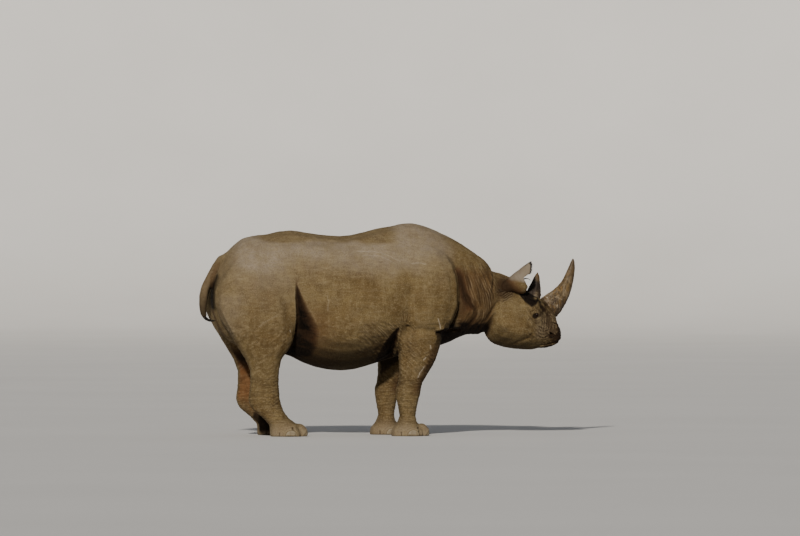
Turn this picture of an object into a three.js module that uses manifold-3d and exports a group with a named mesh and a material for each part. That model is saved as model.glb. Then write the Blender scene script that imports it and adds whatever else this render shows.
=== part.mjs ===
// A black rhinoceros bull, life size, standing with its head turned a little to its left.
// Millimetres, +X towards the head, +Y to the animal's left, +Z up. The body is modelled straight, from
// ribs and rings, then parted with thin cuts, and its neck is bent last.
import * as THREE from "three";
import { mergeVertices } from "three/addons/utils/BufferGeometryUtils.js";
import Module from "manifold-3d";

const wasm = await Module();
wasm.setup();

// Driving dimensions
const GAP = 0.4; // the thin cut between two parts
const NECK_BEND = { from: 480, to: 640, degrees: 10.5 };
const SOLE = 9; // the feet are cut off flat here
const TORSO_RINGS = 26;
const TORSO_SIDES = 24;
const HEAD_RINGS = 17;
const HEAD_SIDES = 20;
const LEG_SIDES = 12;
const LEFT_FORELEG_BACK = 95; // how far the left foreleg stands behind the right one
const LEFT_SHOULDER_BACK = 60;
const LEFT_HINDLEG_BACK = 36;

// A rib of the trunk, neck or head: its highest and lowest points in side view, its half width, the share
// of its height at which it is widest, and the roundness above and below that (2 is an ellipse).
const rib = (top, low, half, waist, over = 2, under = 2) => [...top, ...low, half, waist, over, under];

const TORSO = {
  start: [-1452, 1062],
  ribs: [
    rib([-1436, 1190], [-1446, 950], 105, 0.5),
    rib([-1396, 1290], [-1405, 840], 205, 0.5),
    rib([-1312, 1414], [-1335, 735], 292, 0.5), // rump
    rib([-1205, 1506], [-1210, 668], 340, 0.5), // croup
    rib([-1050, 1533], [-1030, 640], 355, 0.48),
    rib([-870, 1568], [-870, 618], 345, 0.45, 2.1, 2.1), // hip and flank hollow
    rib([-700, 1548], [-700, 540], 395, 0.4, 2.2, 2.1), // loin
    rib([-520, 1529], [-510, 501], 440, 0.37, 2.2, 2.1), // belly
    rib([-370, 1537], [-360, 510], 440, 0.38, 2.15, 2.1),
    rib([-210, 1577], [-205, 556], 425, 0.4, 2.05, 2.1),
    rib([-60, 1607], [-60, 600], 395, 0.42, 1.95, 2.1), // girth
    rib([70, 1624], [85, 643], 352, 0.44, 1.85, 2.1), // withers
    rib([200, 1593], [205, 674], 312, 0.45, 1.85, 2.1),
    rib([315, 1540], [315, 690], 280, 0.46, 1.9, 2.1),
    rib([430, 1484], [400, 732], 252, 0.47, 1.95, 2.1), // breast
    rib([543, 1411], [500, 774], 224, 0.48),
    rib([640, 1341], [604, 773], 200, 0.5), // nape
    rib([710, 1262], [672, 806], 150, 0.5),
  ],
  end: [735, 1040],
};

const HEAD = {
  start: [610, 1030],
  ribs: [
    rib([655, 1190], [635, 870], 100, 0.5),
    rib([722, 1266], [677, 738], 160, 0.45), // poll and jaw angle
    rib([800, 1234], [757, 687], 176, 0.42, 2.1, 2.1),
    rib([880, 1186], [850, 667], 178, 0.42, 2.2, 2.2), // cheek
    rib([960, 1118], [945, 657], 174, 0.48, 2.5, 2.2),
    rib([1030, 1066], [1030, 656], 164, 0.56, 2.8, 2.3), // brow
    rib([1095, 1048], [1095, 664], 134, 0.56, 2.6, 2.4),
    rib([1158, 1000], [1146, 663], 112, 0.52, 2.4, 2.4), // nasal boss
    rib([1208, 935], [1199, 681], 97, 0.48, 2.3, 2.4), // nostrils
    rib([1238, 878], [1232, 706], 78, 0.48, 2.2, 2.2),
    rib([1258, 838], [1254, 738], 48, 0.5), // lip
  ],
  end: [1267, 790],
};

// A ring of a limb: its height, its front and back, its inner and outer side, and how square it is.
const ring = (height, front, back, inner, outer, square = 2.2) => [height, front, back, inner, outer, square];

const HINDLEG = {
  rings: [
    ring(0, -800, -1034, 128, 345, 2.5),
    ring(30, -786, -1040, 122, 350, 2.4),
    ring(85, -806, -1036, 132, 340, 2.3),
    ring(125, -868, -1072, 150, 325), // pastern
    ring(175, -914, -1112, 160, 312),
    ring(225, -940, -1186, 162, 308), // hock
    ring(275, -954, -1200, 160, 308),
    ring(360, -964, -1192, 156, 312),
    ring(440, -965, -1186, 148, 322), // shank
    ring(520, -963, -1190, 136, 338),
    ring(585, -950, -1220, 120, 356),
    ring(665, -884, -1271, 95, 378), // stifle
    ring(760, -842, -1332, 60, 396),
    ring(880, -834, -1404, 30, 406), // thigh
    ring(1015, -842, -1452, 20, 402),
    ring(1130, -868, -1440, 10, 384),
    ring(1240, -925, -1380, 0, 345),
    ring(1340, -1010, -1290, 0, 280),
  ],
  crown: 1395,
};

const FORELEG = {
  rings: [
    ring(0, 128, -112, 122, 342, 2.5),
    ring(30, 138, -118, 116, 348, 2.4),
    ring(75, 112, -98, 130, 334, 2.3),
    ring(115, 84, -62, 150, 314), // pastern
    ring(150, 77, -47, 158, 306),
    ring(210, 85, -57, 160, 304),
    ring(270, 96, -66, 156, 308),
    ring(325, 106, -80, 148, 316), // knee
    ring(375, 118, -74, 144, 320),
    ring(430, 142, -57, 138, 326),
    ring(500, 186, -53, 128, 336), // forearm
    ring(590, 236, -54, 112, 350),
    ring(690, 270, -61, 90, 362), // elbow
    ring(780, 287, -66, 70, 368),
  ],
  crown: 870,
};

const SHOULDER = {
  rings: [
    ring(805, 330, -60, 60, 352),
    ring(870, 358, -72, 60, 374),
    ring(960, 396, -85, 60, 390),
    ring(1080, 414, -95, 60, 392),
    ring(1190, 404, -95, 60, 376),
    ring(1300, 374, -90, 60, 338),
    ring(1390, 318, -70, 40, 284),
    ring(1470, 235, -30, 20, 200),
  ],
  foot: 775,
  crown: 1525,
};

// Each foot's three toes: where the middle of the toe is, from the foot's own centre, and its half sizes.
const TOES = {
  middle: { at: [118, 0, 34], size: [62, 62, 74] },
  outer: { at: [42, 84, 26], size: [78, 48, 60] },
  inner: { at: [42, -84, 26], size: [78, 48, 60] },
};
const HIND_FOOT_CENTRE = [-930, 237];
const FORE_FOOT_CENTRE = [0, 232];
const NAIL = { proud: 5, half: 44, root: 20, out: 110, high: 60 };

const FRONT_HORN = {
  // centre in side view, half depth along the head, half width across it
  rings: [
    [1160, 968, 96, 78],
    [1199, 1007, 92, 68],
    [1233, 1039, 80, 58],
    [1279, 1095, 64, 48],
    [1314, 1156, 48, 38],
    [1339, 1224, 36, 29],
    [1356, 1284, 26, 21],
    [1364, 1330, 14, 12],
  ],
  start: [1120, 930],
  tip: [1366, 1358],
  sides: 12,
};

const REAR_HORN = {
  rings: [
    [1034, 1052, 68, 50],
    [1044, 1085, 60, 43],
    [1055, 1128, 49, 36],
    [1064, 1172, 34, 26],
    [1073, 1216, 20, 16],
  ],
  start: [1024, 1005],
  tip: [1078, 1251],
  sides: 10,
};

const TAIL = {
  // centre in side view, half depth, half width
  rings: [
    [-1345, 1350, 44, 46],
    [-1383, 1303, 46, 42],
    [-1441, 1212, 39, 36],
    [-1490, 1127, 35, 31],
    [-1512, 1049, 27, 25],
    [-1516, 972, 19, 18],
    [-1505, 912, 15, 14],
  ],
  start: [-1310, 1385],
  tip: [-1500, 895],
  sides: 8,
};

const TAIL_TUFT = {
  rings: [
    [-1503, 908, 15, 12],
    [-1480, 888, 13, 11],
    [-1452, 880, 10, 9],
    [-1430, 880, 7, 6],
  ],
  start: [-1509, 922],
  tip: [-1416, 881],
  top: 912,
  sides: 8,
};

const EYE = { at: [1010, 154, 924], radius: 23 };

const EAR = {
  long: 318,
  thick: 13,
  steps: 11,
  sides: 7,
  // share of the length, half depth, half width, and the half angle that the shell is wrapped through
  bowls: [
    [0.0, 43, 42, 165],
    [0.2, 57, 46, 165],
    [0.35, 83, 56, 158],
    [0.45, 88, 62, 152],
    [0.55, 81, 64, 142],
    [0.64, 75, 63, 132],
    [0.72, 66, 60, 122],
    [0.8, 56, 54, 104],
    [0.9, 50, 42, 88],
    [1.0, 18, 18, 80],
  ],
  // the nick above the lower lobe: how far out from the back edge, and how far along
  nick: [
    [69, 192], [87, 178], [107, 182], [121, 203], [180, 215],
    [180, 330], [100, 330], [62, 255], [64, 221],
  ],
};
const RIGHT_EAR = { base: [715, -110, 1144], axis: [0.728, -0.298, 0.618], opens: [0.62, 0.05, -0.75] };
const LEFT_EAR = { base: [725, 110, 1130], axis: [0.15, 0.95, 0.2], opens: [0.9, -0.1, -0.3] };

const NODE_COLOURS = { skin: 0x6f5f48, horn: 0x5b4a38, nail: 0x6a5c48, eye: 0x0d0a08, tuft: 0x14100d };

// A smooth curve through rows of numbers, each row a place on it, read by a share from 0 to 1 of its walk.
function smoothRows(rows) {
  const walk = [0];
  for (let i = 1; i < rows.length; i++) {
    const step = Math.hypot(...rows[i].slice(0, 4).map((v, k) => v - rows[i - 1][k]));
    walk.push(walk[i - 1] + Math.max(step, 1e-3));
  }
  const curve = new THREE.CubicInterpolant(walk, rows.flat(), rows[0].length);
  return (share) => Array.from(curve.evaluate(share * walk.at(-1)));
}

const power = (value, exponent) => Math.sign(value) * Math.abs(value) ** exponent;

// A closed skin over rings of points, with a point at each end, or a flat end where there is none.
function loft(rings, start, end) {
  const sides = rings[0].length;
  const middle = (points) =>
    points.reduce((sum, p) => sum.add(p), new THREE.Vector3()).divideScalar(points.length);
  const points = [...rings.flat(), start ?? middle(rings[0]), end ?? middle(rings.at(-1))];
  const first = rings.length * sides;
  const index = [];
  for (let i = 0; i < sides; i++) {
    const next = (i + 1) % sides;
    index.push(first, next, i);
    const base = (rings.length - 1) * sides;
    index.push(first + 1, base + i, base + next);
    for (let r = 0; r < rings.length - 1; r++) {
      const low = r * sides;
      const high = low + sides;
      index.push(low + i, low + next, high + next, low + i, high + next, high + i);
    }
  }
  const geometry = new THREE.BufferGeometry().setFromPoints(points);
  return geometry.setIndex(index);
}

// A geometry as a manifold-3d solid, turned right side out if need be.
function solid(geometry) {
  const bare = new THREE.BufferGeometry();
  bare.setAttribute("position", geometry.getAttribute("position").clone());
  if (geometry.index) bare.setIndex(geometry.index.clone());
  const merged = mergeVertices(bare, 1e-3);
  const vertProperties = new Float32Array(merged.attributes.position.array);
  const triVerts = new Uint32Array(merged.index.array);
  const made = new wasm.Manifold(new wasm.Mesh({ numProp: 3, vertProperties, triVerts }));
  if (made.volume() > 0) return made;
  for (let i = 0; i < triVerts.length; i += 3) triVerts.subarray(i, i + 3).reverse();
  return new wasm.Manifold(new wasm.Mesh({ numProp: 3, vertProperties, triVerts }));
}

function geometryOf(shape) {
  const mesh = shape.getMesh();
  const geometry = new THREE.BufferGeometry();
  geometry.setAttribute("position", new THREE.BufferAttribute(new Float32Array(mesh.vertProperties), 3));
  geometry.setIndex(new THREE.BufferAttribute(new Uint32Array(mesh.triVerts), 1));
  return geometry;
}

// Trunk, neck and head: rings of points through smooth ribs.
function ribbed({ start, ribs, end }, rings, sides) {
  const at = smoothRows(ribs);
  const made = [];
  for (let r = 0; r < rings; r++) {
    const [topX, topZ, lowX, lowZ, half, waist, over, under] = at(r / (rings - 1));
    const points = [];
    for (let i = 0; i < sides; i++) {
      const angle = (2 * Math.PI * (i + 0.5)) / sides;
      const c = Math.cos(angle);
      const s = Math.sin(angle);
      const round = 2 / (s > 0 ? over : under);
      const share = waist + (s > 0 ? 1 - waist : waist) * power(s, round);
      const x = lowX + share * (topX - lowX);
      const z = lowZ + share * (topZ - lowZ);
      points.push(new THREE.Vector3(x, half * power(c, round), z));
    }
    made.push(points);
  }
  const point = ([x, z]) => new THREE.Vector3(x, 0, z);
  return loft(made, point(start), point(end));
}

// A limb on the animal's left (side 1) or right (side -1): level rings joined upwards.
function limb({ rings, foot, crown }, side, back, steps) {
  const at = smoothRows(rings);
  const made = [];
  for (let r = 0; r < steps; r++) {
    const [z, front, rear, inner, outer, square] = at(r / (steps - 1));
    const points = [];
    for (let i = 0; i < LEG_SIDES; i++) {
      const angle = (2 * Math.PI * i) / LEG_SIDES;
      const x = (front + rear) / 2 + ((front - rear) / 2) * power(Math.cos(angle), 2 / square);
      const y = (inner + outer) / 2 + ((outer - inner) / 2) * power(Math.sin(angle), 2 / square);
      points.push(new THREE.Vector3(x - back, side * y, z));
    }
    made.push(points);
  }
  const centre = (points) =>
    points.reduce((sum, p) => sum.add(p), new THREE.Vector3()).divideScalar(points.length);
  const top = centre(made.at(-1)).setZ(crown);
  const bottom = foot === undefined ? undefined : centre(made[0]).setZ(foot);
  return solid(loft(made, bottom, top));
}

// A horn, or the tail: rings square to a curve that lies in the side view.
function tapered({ rings, start, tip, sides }, steps) {
  const at = smoothRows(rings);
  const made = [];
  for (let r = 0; r < steps; r++) {
    const share = r / (steps - 1);
    const [x, z, deep, wide] = at(share);
    const [x0, z0] = at(Math.max(0, share - 0.02));
    const [x1, z1] = at(Math.min(1, share + 0.02));
    const along = new THREE.Vector2(x1 - x0, z1 - z0).normalize();
    const points = [];
    for (let i = 0; i < sides; i++) {
      const angle = (2 * Math.PI * (i + 0.5)) / sides;
      const off = deep * Math.cos(angle);
      points.push(new THREE.Vector3(x + off * along.y, wide * Math.sin(angle), z - off * along.x));
    }
    made.push(points);
  }
  return solid(loft(made, new THREE.Vector3(start[0], 0, start[1]), new THREE.Vector3(tip[0], 0, tip[1])));
}

// An ear: a leaf wrapped round into a cup, open towards the front, with its back edge on its axis.
function ear({ base, axis, opens }) {
  const at = smoothRows(EAR.bowls.map(([share, ...rest]) => [share * EAR.long, ...rest]));
  const made = [];
  for (let r = 0; r < EAR.steps; r++) {
    const [along, deep, wide, wrap] = at(r / (EAR.steps - 1));
    const thick = EAR.thick * (1 - (0.45 * r) / EAR.steps);
    const leaf = (inset, i) => {
      const angle = THREE.MathUtils.degToRad(wrap) * ((2 * i) / EAR.sides - 1);
      const out = deep - (deep - inset) * Math.cos(angle);
      return new THREE.Vector3(out, (wide - inset) * Math.sin(angle), along);
    };
    const points = [];
    for (let i = 0; i <= EAR.sides; i++) points.push(leaf(0, i));
    for (let i = EAR.sides; i >= 0; i--) points.push(leaf(thick, i));
    made.push(points);
  }
  const up = new THREE.Vector3(...axis).normalize();
  const across = new THREE.Vector3().crossVectors(up, new THREE.Vector3(...opens)).normalize();
  const front = new THREE.Vector3().crossVectors(across, up).normalize();
  const nick = new THREE.ExtrudeGeometry(outlineOf(EAR.nick), { depth: 400, bevelEnabled: false });
  nick.rotateX(Math.PI / 2).translate(0, 200, 0);
  const place = new THREE.Matrix4().makeBasis(front, across, up).setPosition(...base);
  return solid(geometryOf(solid(loft(made)).subtract(solid(nick))).applyMatrix4(place));
}

// A box from its lowest to its highest corner.
function block(low, high) {
  const size = high.map((v, i) => v - low[i]);
  const geometry = new THREE.BoxGeometry(...size);
  geometry.translate(...low.map((v, i) => v + size[i] / 2));
  return solid(geometry);
}

// All that lies on the far side of a plane through two points of the side view, from the first to the second.
function beyond([x0, z0], [x1, z1], shift = 0) {
  const far = 4000;
  const geometry = new THREE.BoxGeometry(far, far, far);
  geometry.translate(far / 2 + shift, 0, 0);
  geometry.rotateY(Math.atan2(x1 - x0, z1 - z0));
  geometry.translate((x0 + x1) / 2, 0, (z0 + z1) / 2);
  return solid(geometry);
}

const outlineOf = (points) => new THREE.Shape(points.map(([x, z]) => new THREE.Vector2(x, z)));

// A plate seen from the side, between two distances from the midline on one side.
function slab(outline, side, near, far) {
  const geometry = new THREE.ExtrudeGeometry(outlineOf(outline), { depth: far - near, bevelEnabled: false });
  geometry.rotateX(Math.PI / 2);
  geometry.translate(0, side > 0 ? far : -near, 0);
  return solid(geometry);
}

function ball([x, y, z], [a, b, c], grow, wide = 10, high = 6) {
  const geometry = new THREE.SphereGeometry(1, wide, high);
  geometry.rotateX(Math.PI / 2);
  geometry.scale(a + grow, b + grow, c + grow);
  geometry.translate(x, y, z);
  return solid(geometry);
}

// The straight animal's neck is bent to the left: each slice across it turns as a whole.
function bendNeck(geometry) {
  const place = geometry.getAttribute("position");
  const { from, to, degrees } = NECK_BEND;
  const turn = THREE.MathUtils.degToRad(degrees);
  const radius = (to - from) / turn;
  for (let i = 0; i < place.count; i++) {
    const x = place.getX(i);
    if (x <= from) continue;
    const angle = (Math.min(x, to) - from) / radius;
    const past = Math.max(0, x - to);
    const c = Math.cos(angle);
    const s = Math.sin(angle);
    const y = place.getY(i);
    place.setXY(i, from + radius * s + past * c - y * s, radius * (1 - c) + past * s + y * c);
  }
  return geometry;
}

// Where each foot stands, and the toes and nails on it.
const LEGS = [
  { name: "hindleg_right", hind: true, side: -1, back: 0 },
  { name: "hindleg_left", hind: true, side: 1, back: LEFT_HINDLEG_BACK },
  { name: "foreleg_right", hind: false, side: -1, back: 0 },
  { name: "foreleg_left", hind: false, side: 1, back: LEFT_FORELEG_BACK },
];

function toesOf({ hind, side, back }) {
  const [x0, y0] = hind ? HIND_FOOT_CENTRE : FORE_FOOT_CENTRE;
  return Object.entries(TOES).map(([toe, { at, size }]) => ({
    toe,
    at: [x0 - back + at[0], side * (y0 + at[1]), at[2]],
    size,
    turn: side * Math.sign(at[1]),
  }));
}

const aboveGround = block([-3000, -3000, SOLE], [3000, 3000, 4000]);

// A nail: a block cut from the front or outer side of a slightly larger toe.
function nail({ at, size, turn }, grow) {
  const [x, y] = at;
  const { half, root, out } = NAIL;
  const across = turn === 0 ? [y - half, y + half] : [y + turn * root, y + turn * out].sort((a, b) => a - b);
  const along = turn === 0 ? [x + root, x + out] : [x - half, x + half];
  const low = [along[0] - grow, across[0] - grow, SOLE - 1];
  const high = [along[1] + grow, across[1] + grow, NAIL.high + grow];
  return ball(at, size, NAIL.proud + grow).intersect(block(low, high)).intersect(aboveGround);
}

// The whole straight body of flesh, before it is parted.
let flesh = solid(ribbed(TORSO, TORSO_RINGS, TORSO_SIDES)).add(solid(ribbed(HEAD, HEAD_RINGS, HEAD_SIDES)));
for (const leg of LEGS) {
  flesh = flesh.add(leg.hind ? limb(HINDLEG, leg.side, leg.back, 17) : limb(FORELEG, leg.side, leg.back, 14));
  if (!leg.hind) flesh = flesh.add(limb(SHOULDER, leg.side, leg.side > 0 ? LEFT_SHOULDER_BACK : 0, 10));
  for (const toe of toesOf(leg)) flesh = flesh.add(ball(toe.at, toe.size, 0));
}
flesh = flesh.intersect(aboveGround);

const rhino = new THREE.Group();
const MATERIALS = Object.fromEntries(
  Object.entries(NODE_COLOURS).map(([key, color]) => [
    key,
    new THREE.MeshStandardMaterial({ color, roughness: key === "eye" ? 0.15 : 0.8, metalness: 0 }),
  ]),
);

// Cutting can leave crumbs: a node is the largest body of its shape.
const largest = (shape) => shape.decompose().sort((a, b) => b.volume() - a.volume())[0];

function addNode(name, shape, finish) {
  const mesh = new THREE.Mesh(bendNeck(geometryOf(largest(shape))), MATERIALS[finish]);
  mesh.name = name;
  rhino.add(mesh);
}

// Horns, ears, eyes and tail, each cut back from the flesh that carries it.
const lifted = (direction) => flesh.translate(direction.map((v) => v * GAP * 1.5));
addNode("horn_front", tapered(FRONT_HORN, 10).subtract(lifted([0.6, 0, 0.8])), "horn");
addNode("horn_rear", tapered(REAR_HORN, 8).subtract(lifted([0.2, 0, 1])), "horn");
const rump = lifted([-0.9, 0, -0.3]);
const aboveTuft = block([-3000, -500, TAIL_TUFT.top], [0, 500, 3000]);
addNode("tail", tapered(TAIL, 11).subtract(rump).intersect(aboveTuft), "skin");
const belowTail = aboveTuft.translate([0, 0, -GAP]);
addNode("tail_tuft", tapered(TAIL_TUFT, 6).subtract(rump).subtract(belowTail), "tuft");
addNode("ear_right", ear(RIGHT_EAR).subtract(lifted([0.5, -0.5, 0.7])), "skin");
addNode("ear_left", ear(LEFT_EAR).subtract(lifted([0.3, 0.8, 0.5])), "skin");

for (const side of [-1, 1]) {
  const at = [EYE.at[0], side * EYE.at[1], EYE.at[2]];
  const size = [EYE.radius, EYE.radius, EYE.radius];
  addNode(side < 0 ? "eye_right" : "eye_left", ball(at, size, 0, 10, 6), "eye");
  flesh = flesh.subtract(ball(at, size, GAP, 10, 6));
}

// Nails are let into the toes.
for (const leg of LEGS) {
  for (const toe of toesOf(leg)) {
    addNode(`${leg.name}_nail_${toe.toe}`, nail(toe, 0), "nail");
    flesh = flesh.subtract(nail(toe, GAP));
  }
}

// Legs: a slab in side view takes each one off the trunk, and level cuts part it.
const HIND_OUTLINE = [
  [-1650, -20], [-690, -20], [-690, 470], [-838, 590], [-838, 1185], [-1650, 1185],
];
const FORE_OUTLINE = [
  [-330, -20], [430, -20], [430, 600], [296, 690],
  [296, 808], [-72, 808], [-72, 540], [-330, 430],
];
const HIND_CUTS = { thigh: [600, 1300], shank: [215, 600], foot: [-20, 215] };
const FORE_CUTS = { upper: [345, 1000], lower: [118, 345], foot: [-20, 118] };
const INSIDE_OF_LEG = 105;

const moved = (outline, back) => outline.map(([x, z]) => [x - back, z]);
const grown = (outline, by) => {
  const centre = [outline.reduce((s, p) => s + p[0], 0), outline.reduce((s, p) => s + p[1], 0)];
  return outline.map((p) => p.map((v, i) => v + by * Math.sign(v - centre[i] / outline.length)));
};

for (const { name, hind, side, back } of LEGS) {
  const outline = moved(hind ? HIND_OUTLINE : FORE_OUTLINE, back);
  const leg = flesh.intersect(slab(outline, side, INSIDE_OF_LEG, 700));
  flesh = flesh.subtract(slab(grown(outline, GAP), side, INSIDE_OF_LEG - GAP, 701));
  for (const [part, [low, high]] of Object.entries(hind ? HIND_CUTS : FORE_CUTS)) {
    const field = block([-3000, -3000, low + GAP / 2], [3000, 3000, high - GAP / 2]);
    addNode(`${name}_${part}`, leg.intersect(field), "skin");
  }
}

// Head, neck and trunk.
const NECK_CUT = [[470, 740], [352, 1540]];
const HEAD_CUT = [[652, 760], [712, 1270]];
addNode("head", flesh.intersect(beyond(...HEAD_CUT, GAP / 2)), "skin");
const aheadOfNeck = beyond(...HEAD_CUT, -GAP / 2);
addNode("neck", flesh.intersect(beyond(...NECK_CUT, GAP / 2)).subtract(aheadOfNeck), "skin");
addNode("trunk", flesh.subtract(beyond(...NECK_CUT, -GAP / 2)), "skin");

// The origin is on the ground, under the middle of the animal's box.
const box = new THREE.Box3().setFromObject(rhino);
const middle = box.getCenter(new THREE.Vector3());
rhino.position.set(-middle.x, -middle.y, -box.min.z);

export default rhino;
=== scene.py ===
"""The looks of a life-size black rhinoceros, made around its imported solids.

One skin is grown from the solids of flesh, then shaped by named masses, creases and wrinkles, and dressed
with eyes, horns, nails, ear fringes, lashes and a tail tuft. Metres, +X towards the head, +Z up.
"""

import math

import bpy
import numpy as np
import openvdb as vdb
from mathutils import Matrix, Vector
from mathutils.kdtree import KDTree


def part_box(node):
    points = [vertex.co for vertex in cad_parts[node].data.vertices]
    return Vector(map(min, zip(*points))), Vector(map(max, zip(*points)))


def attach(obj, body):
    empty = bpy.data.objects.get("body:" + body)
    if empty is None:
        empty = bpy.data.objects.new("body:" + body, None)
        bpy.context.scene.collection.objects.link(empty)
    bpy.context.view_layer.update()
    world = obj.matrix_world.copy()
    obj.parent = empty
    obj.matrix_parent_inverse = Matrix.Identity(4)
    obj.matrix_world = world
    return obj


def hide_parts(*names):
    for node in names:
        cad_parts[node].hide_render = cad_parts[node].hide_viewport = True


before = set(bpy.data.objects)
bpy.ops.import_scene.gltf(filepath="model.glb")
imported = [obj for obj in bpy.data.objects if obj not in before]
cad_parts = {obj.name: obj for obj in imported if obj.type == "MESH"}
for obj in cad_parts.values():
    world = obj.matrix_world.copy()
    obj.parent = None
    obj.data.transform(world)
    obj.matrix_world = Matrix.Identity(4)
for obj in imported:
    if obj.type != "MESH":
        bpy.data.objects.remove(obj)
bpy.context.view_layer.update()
RNG = np.random.default_rng(7)

# ---------------------------------------------------------------- places
# Shapes on the body are placed on the straight animal: x along it from the middle of its back, y to its
# left, z above the ground. The neck is then bent to the left as part.mjs bends it.
NECK_FROM, NECK_TO, NECK_TURN = 0.480, 0.640, math.radians(10.5)
NECK_RADIUS = (NECK_TO - NECK_FROM) / NECK_TURN
EYE_AT = np.array([1.010, 0.154, 0.924])
EYE_RADIUS = 0.0225
LEFT_FORELEG_BACK, LEFT_HINDLEG_BACK = 0.095, 0.036
VOXEL = 0.0075


def bend(points):
    """From the straight animal to the bent one."""
    p = np.array(points, float).reshape(-1, 3)
    x, y = p[:, 0].copy(), p[:, 1].copy()
    angle = np.clip(x - NECK_FROM, 0, NECK_TO - NECK_FROM) / NECK_RADIUS
    past = np.clip(x - NECK_TO, 0, None)
    c, s = np.cos(angle), np.sin(angle)
    p[:, 0] = np.minimum(x, NECK_FROM) + NECK_RADIUS * s + past * c - y * s
    p[:, 1] = NECK_RADIUS * (1 - c) + past * s + y * c
    return p


def middle(node):
    low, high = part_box(node)
    return np.array((low + high) / 2)


# The straight animal's own origin, in the model's frame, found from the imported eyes.
ORIGIN = (middle("eye_right") + middle("eye_left")) / 2 - bend(EYE_AT * (1, 0, 1))[0]


def placed(points):
    """From the straight animal to the model's frame."""
    return bend(points) + ORIGIN


def neck_angle(points):
    """How far the neck has turned at each point of the model."""
    dx, dy = points[:, 0] - ORIGIN[0] - NECK_FROM, points[:, 1] - ORIGIN[1]
    return np.clip(np.arctan2(dx, NECK_RADIUS - dy), 0, NECK_TURN)


def straighten(points):
    """From the model's frame back to the straight animal."""
    angle = neck_angle(points)
    p = points - ORIGIN
    c, s = np.cos(angle), np.sin(angle)
    rx = p[:, 0] - NECK_FROM - NECK_RADIUS * s
    ry = p[:, 1] - NECK_RADIUS * (1 - c)
    return np.stack([NECK_FROM + NECK_RADIUS * angle + rx * c + ry * s, ry * c - rx * s, p[:, 2]], axis=1)


def turned(vectors, angle):
    """Directions turned about the vertical, each by its own angle."""
    c, s = np.cos(angle), np.sin(angle)
    x, y = vectors[:, 0], vectors[:, 1]
    return np.stack([x * c - y * s, x * s + y * c, vectors[:, 2]], axis=1)


# ---------------------------------------------------------------- numbers over many points
def smooth(edge0, edge1, x):
    t = np.clip((x - edge0) / (edge1 - edge0), 0, 1)
    return t * t * (3 - 2 * t)


def bell(x, width):
    return np.exp(-((x / width) ** 2))


def within(x, low, high, soft):
    """1 between two values, falling to 0 over a soft edge outside them."""
    return smooth(low - soft, low, x) * (1 - smooth(high, high + soft, x))


def noise(points, scale, seed=0):
    """Smooth noise from -1 to 1; scale is the size of its lumps, one number or one for each axis."""
    p = points / np.array(scale) + seed * 17.31
    cell = np.floor(p).astype(np.int64)
    t = p - cell
    t = t * t * t * (t * (t * 6 - 15) + 10)
    total = np.zeros(len(p))
    for corner in range(8):
        step = np.array([corner & 1, corner >> 1 & 1, corner >> 2 & 1])
        c = cell + step
        mixed = (c[:, 0] * 73856093) ^ (c[:, 1] * 19349663) ^ (c[:, 2] * 83492791)
        mixed = (mixed ^ (mixed >> 13)) * 1274126177
        value = ((mixed ^ (mixed >> 16)) & 0xFFFF) / 32767.5 - 1
        total += value * np.prod(np.where(step, t, 1 - t), axis=1)
    return total


def valleys(points, scale, seed=0, width=0.38):
    """Narrow valleys between rounded lumps: 0 on the lumps and 1 along the valleys."""
    return bell(noise(points, scale, seed), width)


def curve_through(points, steps=24):
    """A smooth curve through a few points, as many points."""
    p = np.array(points, float)
    p = np.concatenate([[2 * p[0] - p[1]], p, [2 * p[-1] - p[-2]]])
    out = []
    for i in range(1, len(p) - 2):
        t = np.linspace(0, 1, steps, endpoint=False)[:, None]
        a, b, c, d = p[i - 1 : i + 3]
        bent = (2 * a - 5 * b + 4 * c - d) * t**2
        out.append(0.5 * (2 * b + (c - a) * t + bent + (3 * b - a - 3 * c + d) * t**3))
    return np.concatenate([*out, p[-2:-1]])


def line_distance(flat, line):
    """For points in a plane: the signed distance to a line, positive on its left, and the share along it."""
    best = np.full(len(flat), np.inf)
    side = np.ones(len(flat))
    share = np.zeros(len(flat))
    lengths = np.linalg.norm(np.diff(line, axis=0), axis=1)
    walked = np.concatenate([[0], np.cumsum(lengths)])
    for i, length in enumerate(lengths):
        along = (line[i + 1] - line[i]) / length
        off = flat - line[i]
        t = np.clip(off @ along, 0, length)
        gap = np.hypot(*(off - t[:, None] * along).T)
        near = gap < best
        best[near] = gap[near]
        side[near] = np.where(along[0] * off[near, 1] - along[1] * off[near, 0] > 0, 1, -1)
        share[near] = (walked[i] + t[near]) / walked[-1]
    return best * side, share


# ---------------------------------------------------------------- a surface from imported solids
def triangles_of(obj):
    mesh = obj.data
    mesh.calc_loop_triangles()
    points = np.empty(len(mesh.vertices) * 3, np.float32)
    mesh.vertices.foreach_get("co", points)
    corners = np.empty(len(mesh.loop_triangles) * 3, np.int32)
    mesh.loop_triangles.foreach_get("vertices", corners)
    return points.reshape(-1, 3), corners.reshape(-1, 3).astype(np.uint32)


def joined_surface(nodes, voxel, close=0.0004, band=5):
    """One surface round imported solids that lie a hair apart, as points and quads."""
    low = np.min([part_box(n)[0] for n in nodes], axis=0)
    high = np.max([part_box(n)[1] for n in nodes], axis=0)
    first = np.floor(low / voxel).astype(int) - band - 2
    size = np.ceil(high / voxel).astype(int) + band + 2 - first
    place = vdb.createLinearTransform(voxelSize=voxel)
    field = np.full(size, voxel * band, np.float32)
    corner = tuple(int(v) for v in first)
    for node in nodes:
        solid = triangles_of(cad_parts[node])
        grid = vdb.FloatGrid.createLevelSetFromPolygons(*solid, transform=place, halfWidth=band)
        part = np.empty(size, np.float32)
        grid.copyToArray(part, ijk=corner)
        np.minimum(field, part, out=field)
    grid = vdb.FloatGrid(voxel * band)
    grid.copyFromArray(field, ijk=corner)
    grid.transform = place
    points, quads = grid.convertToQuads(close)
    return points.astype(float), quads.astype(np.int64)


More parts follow.
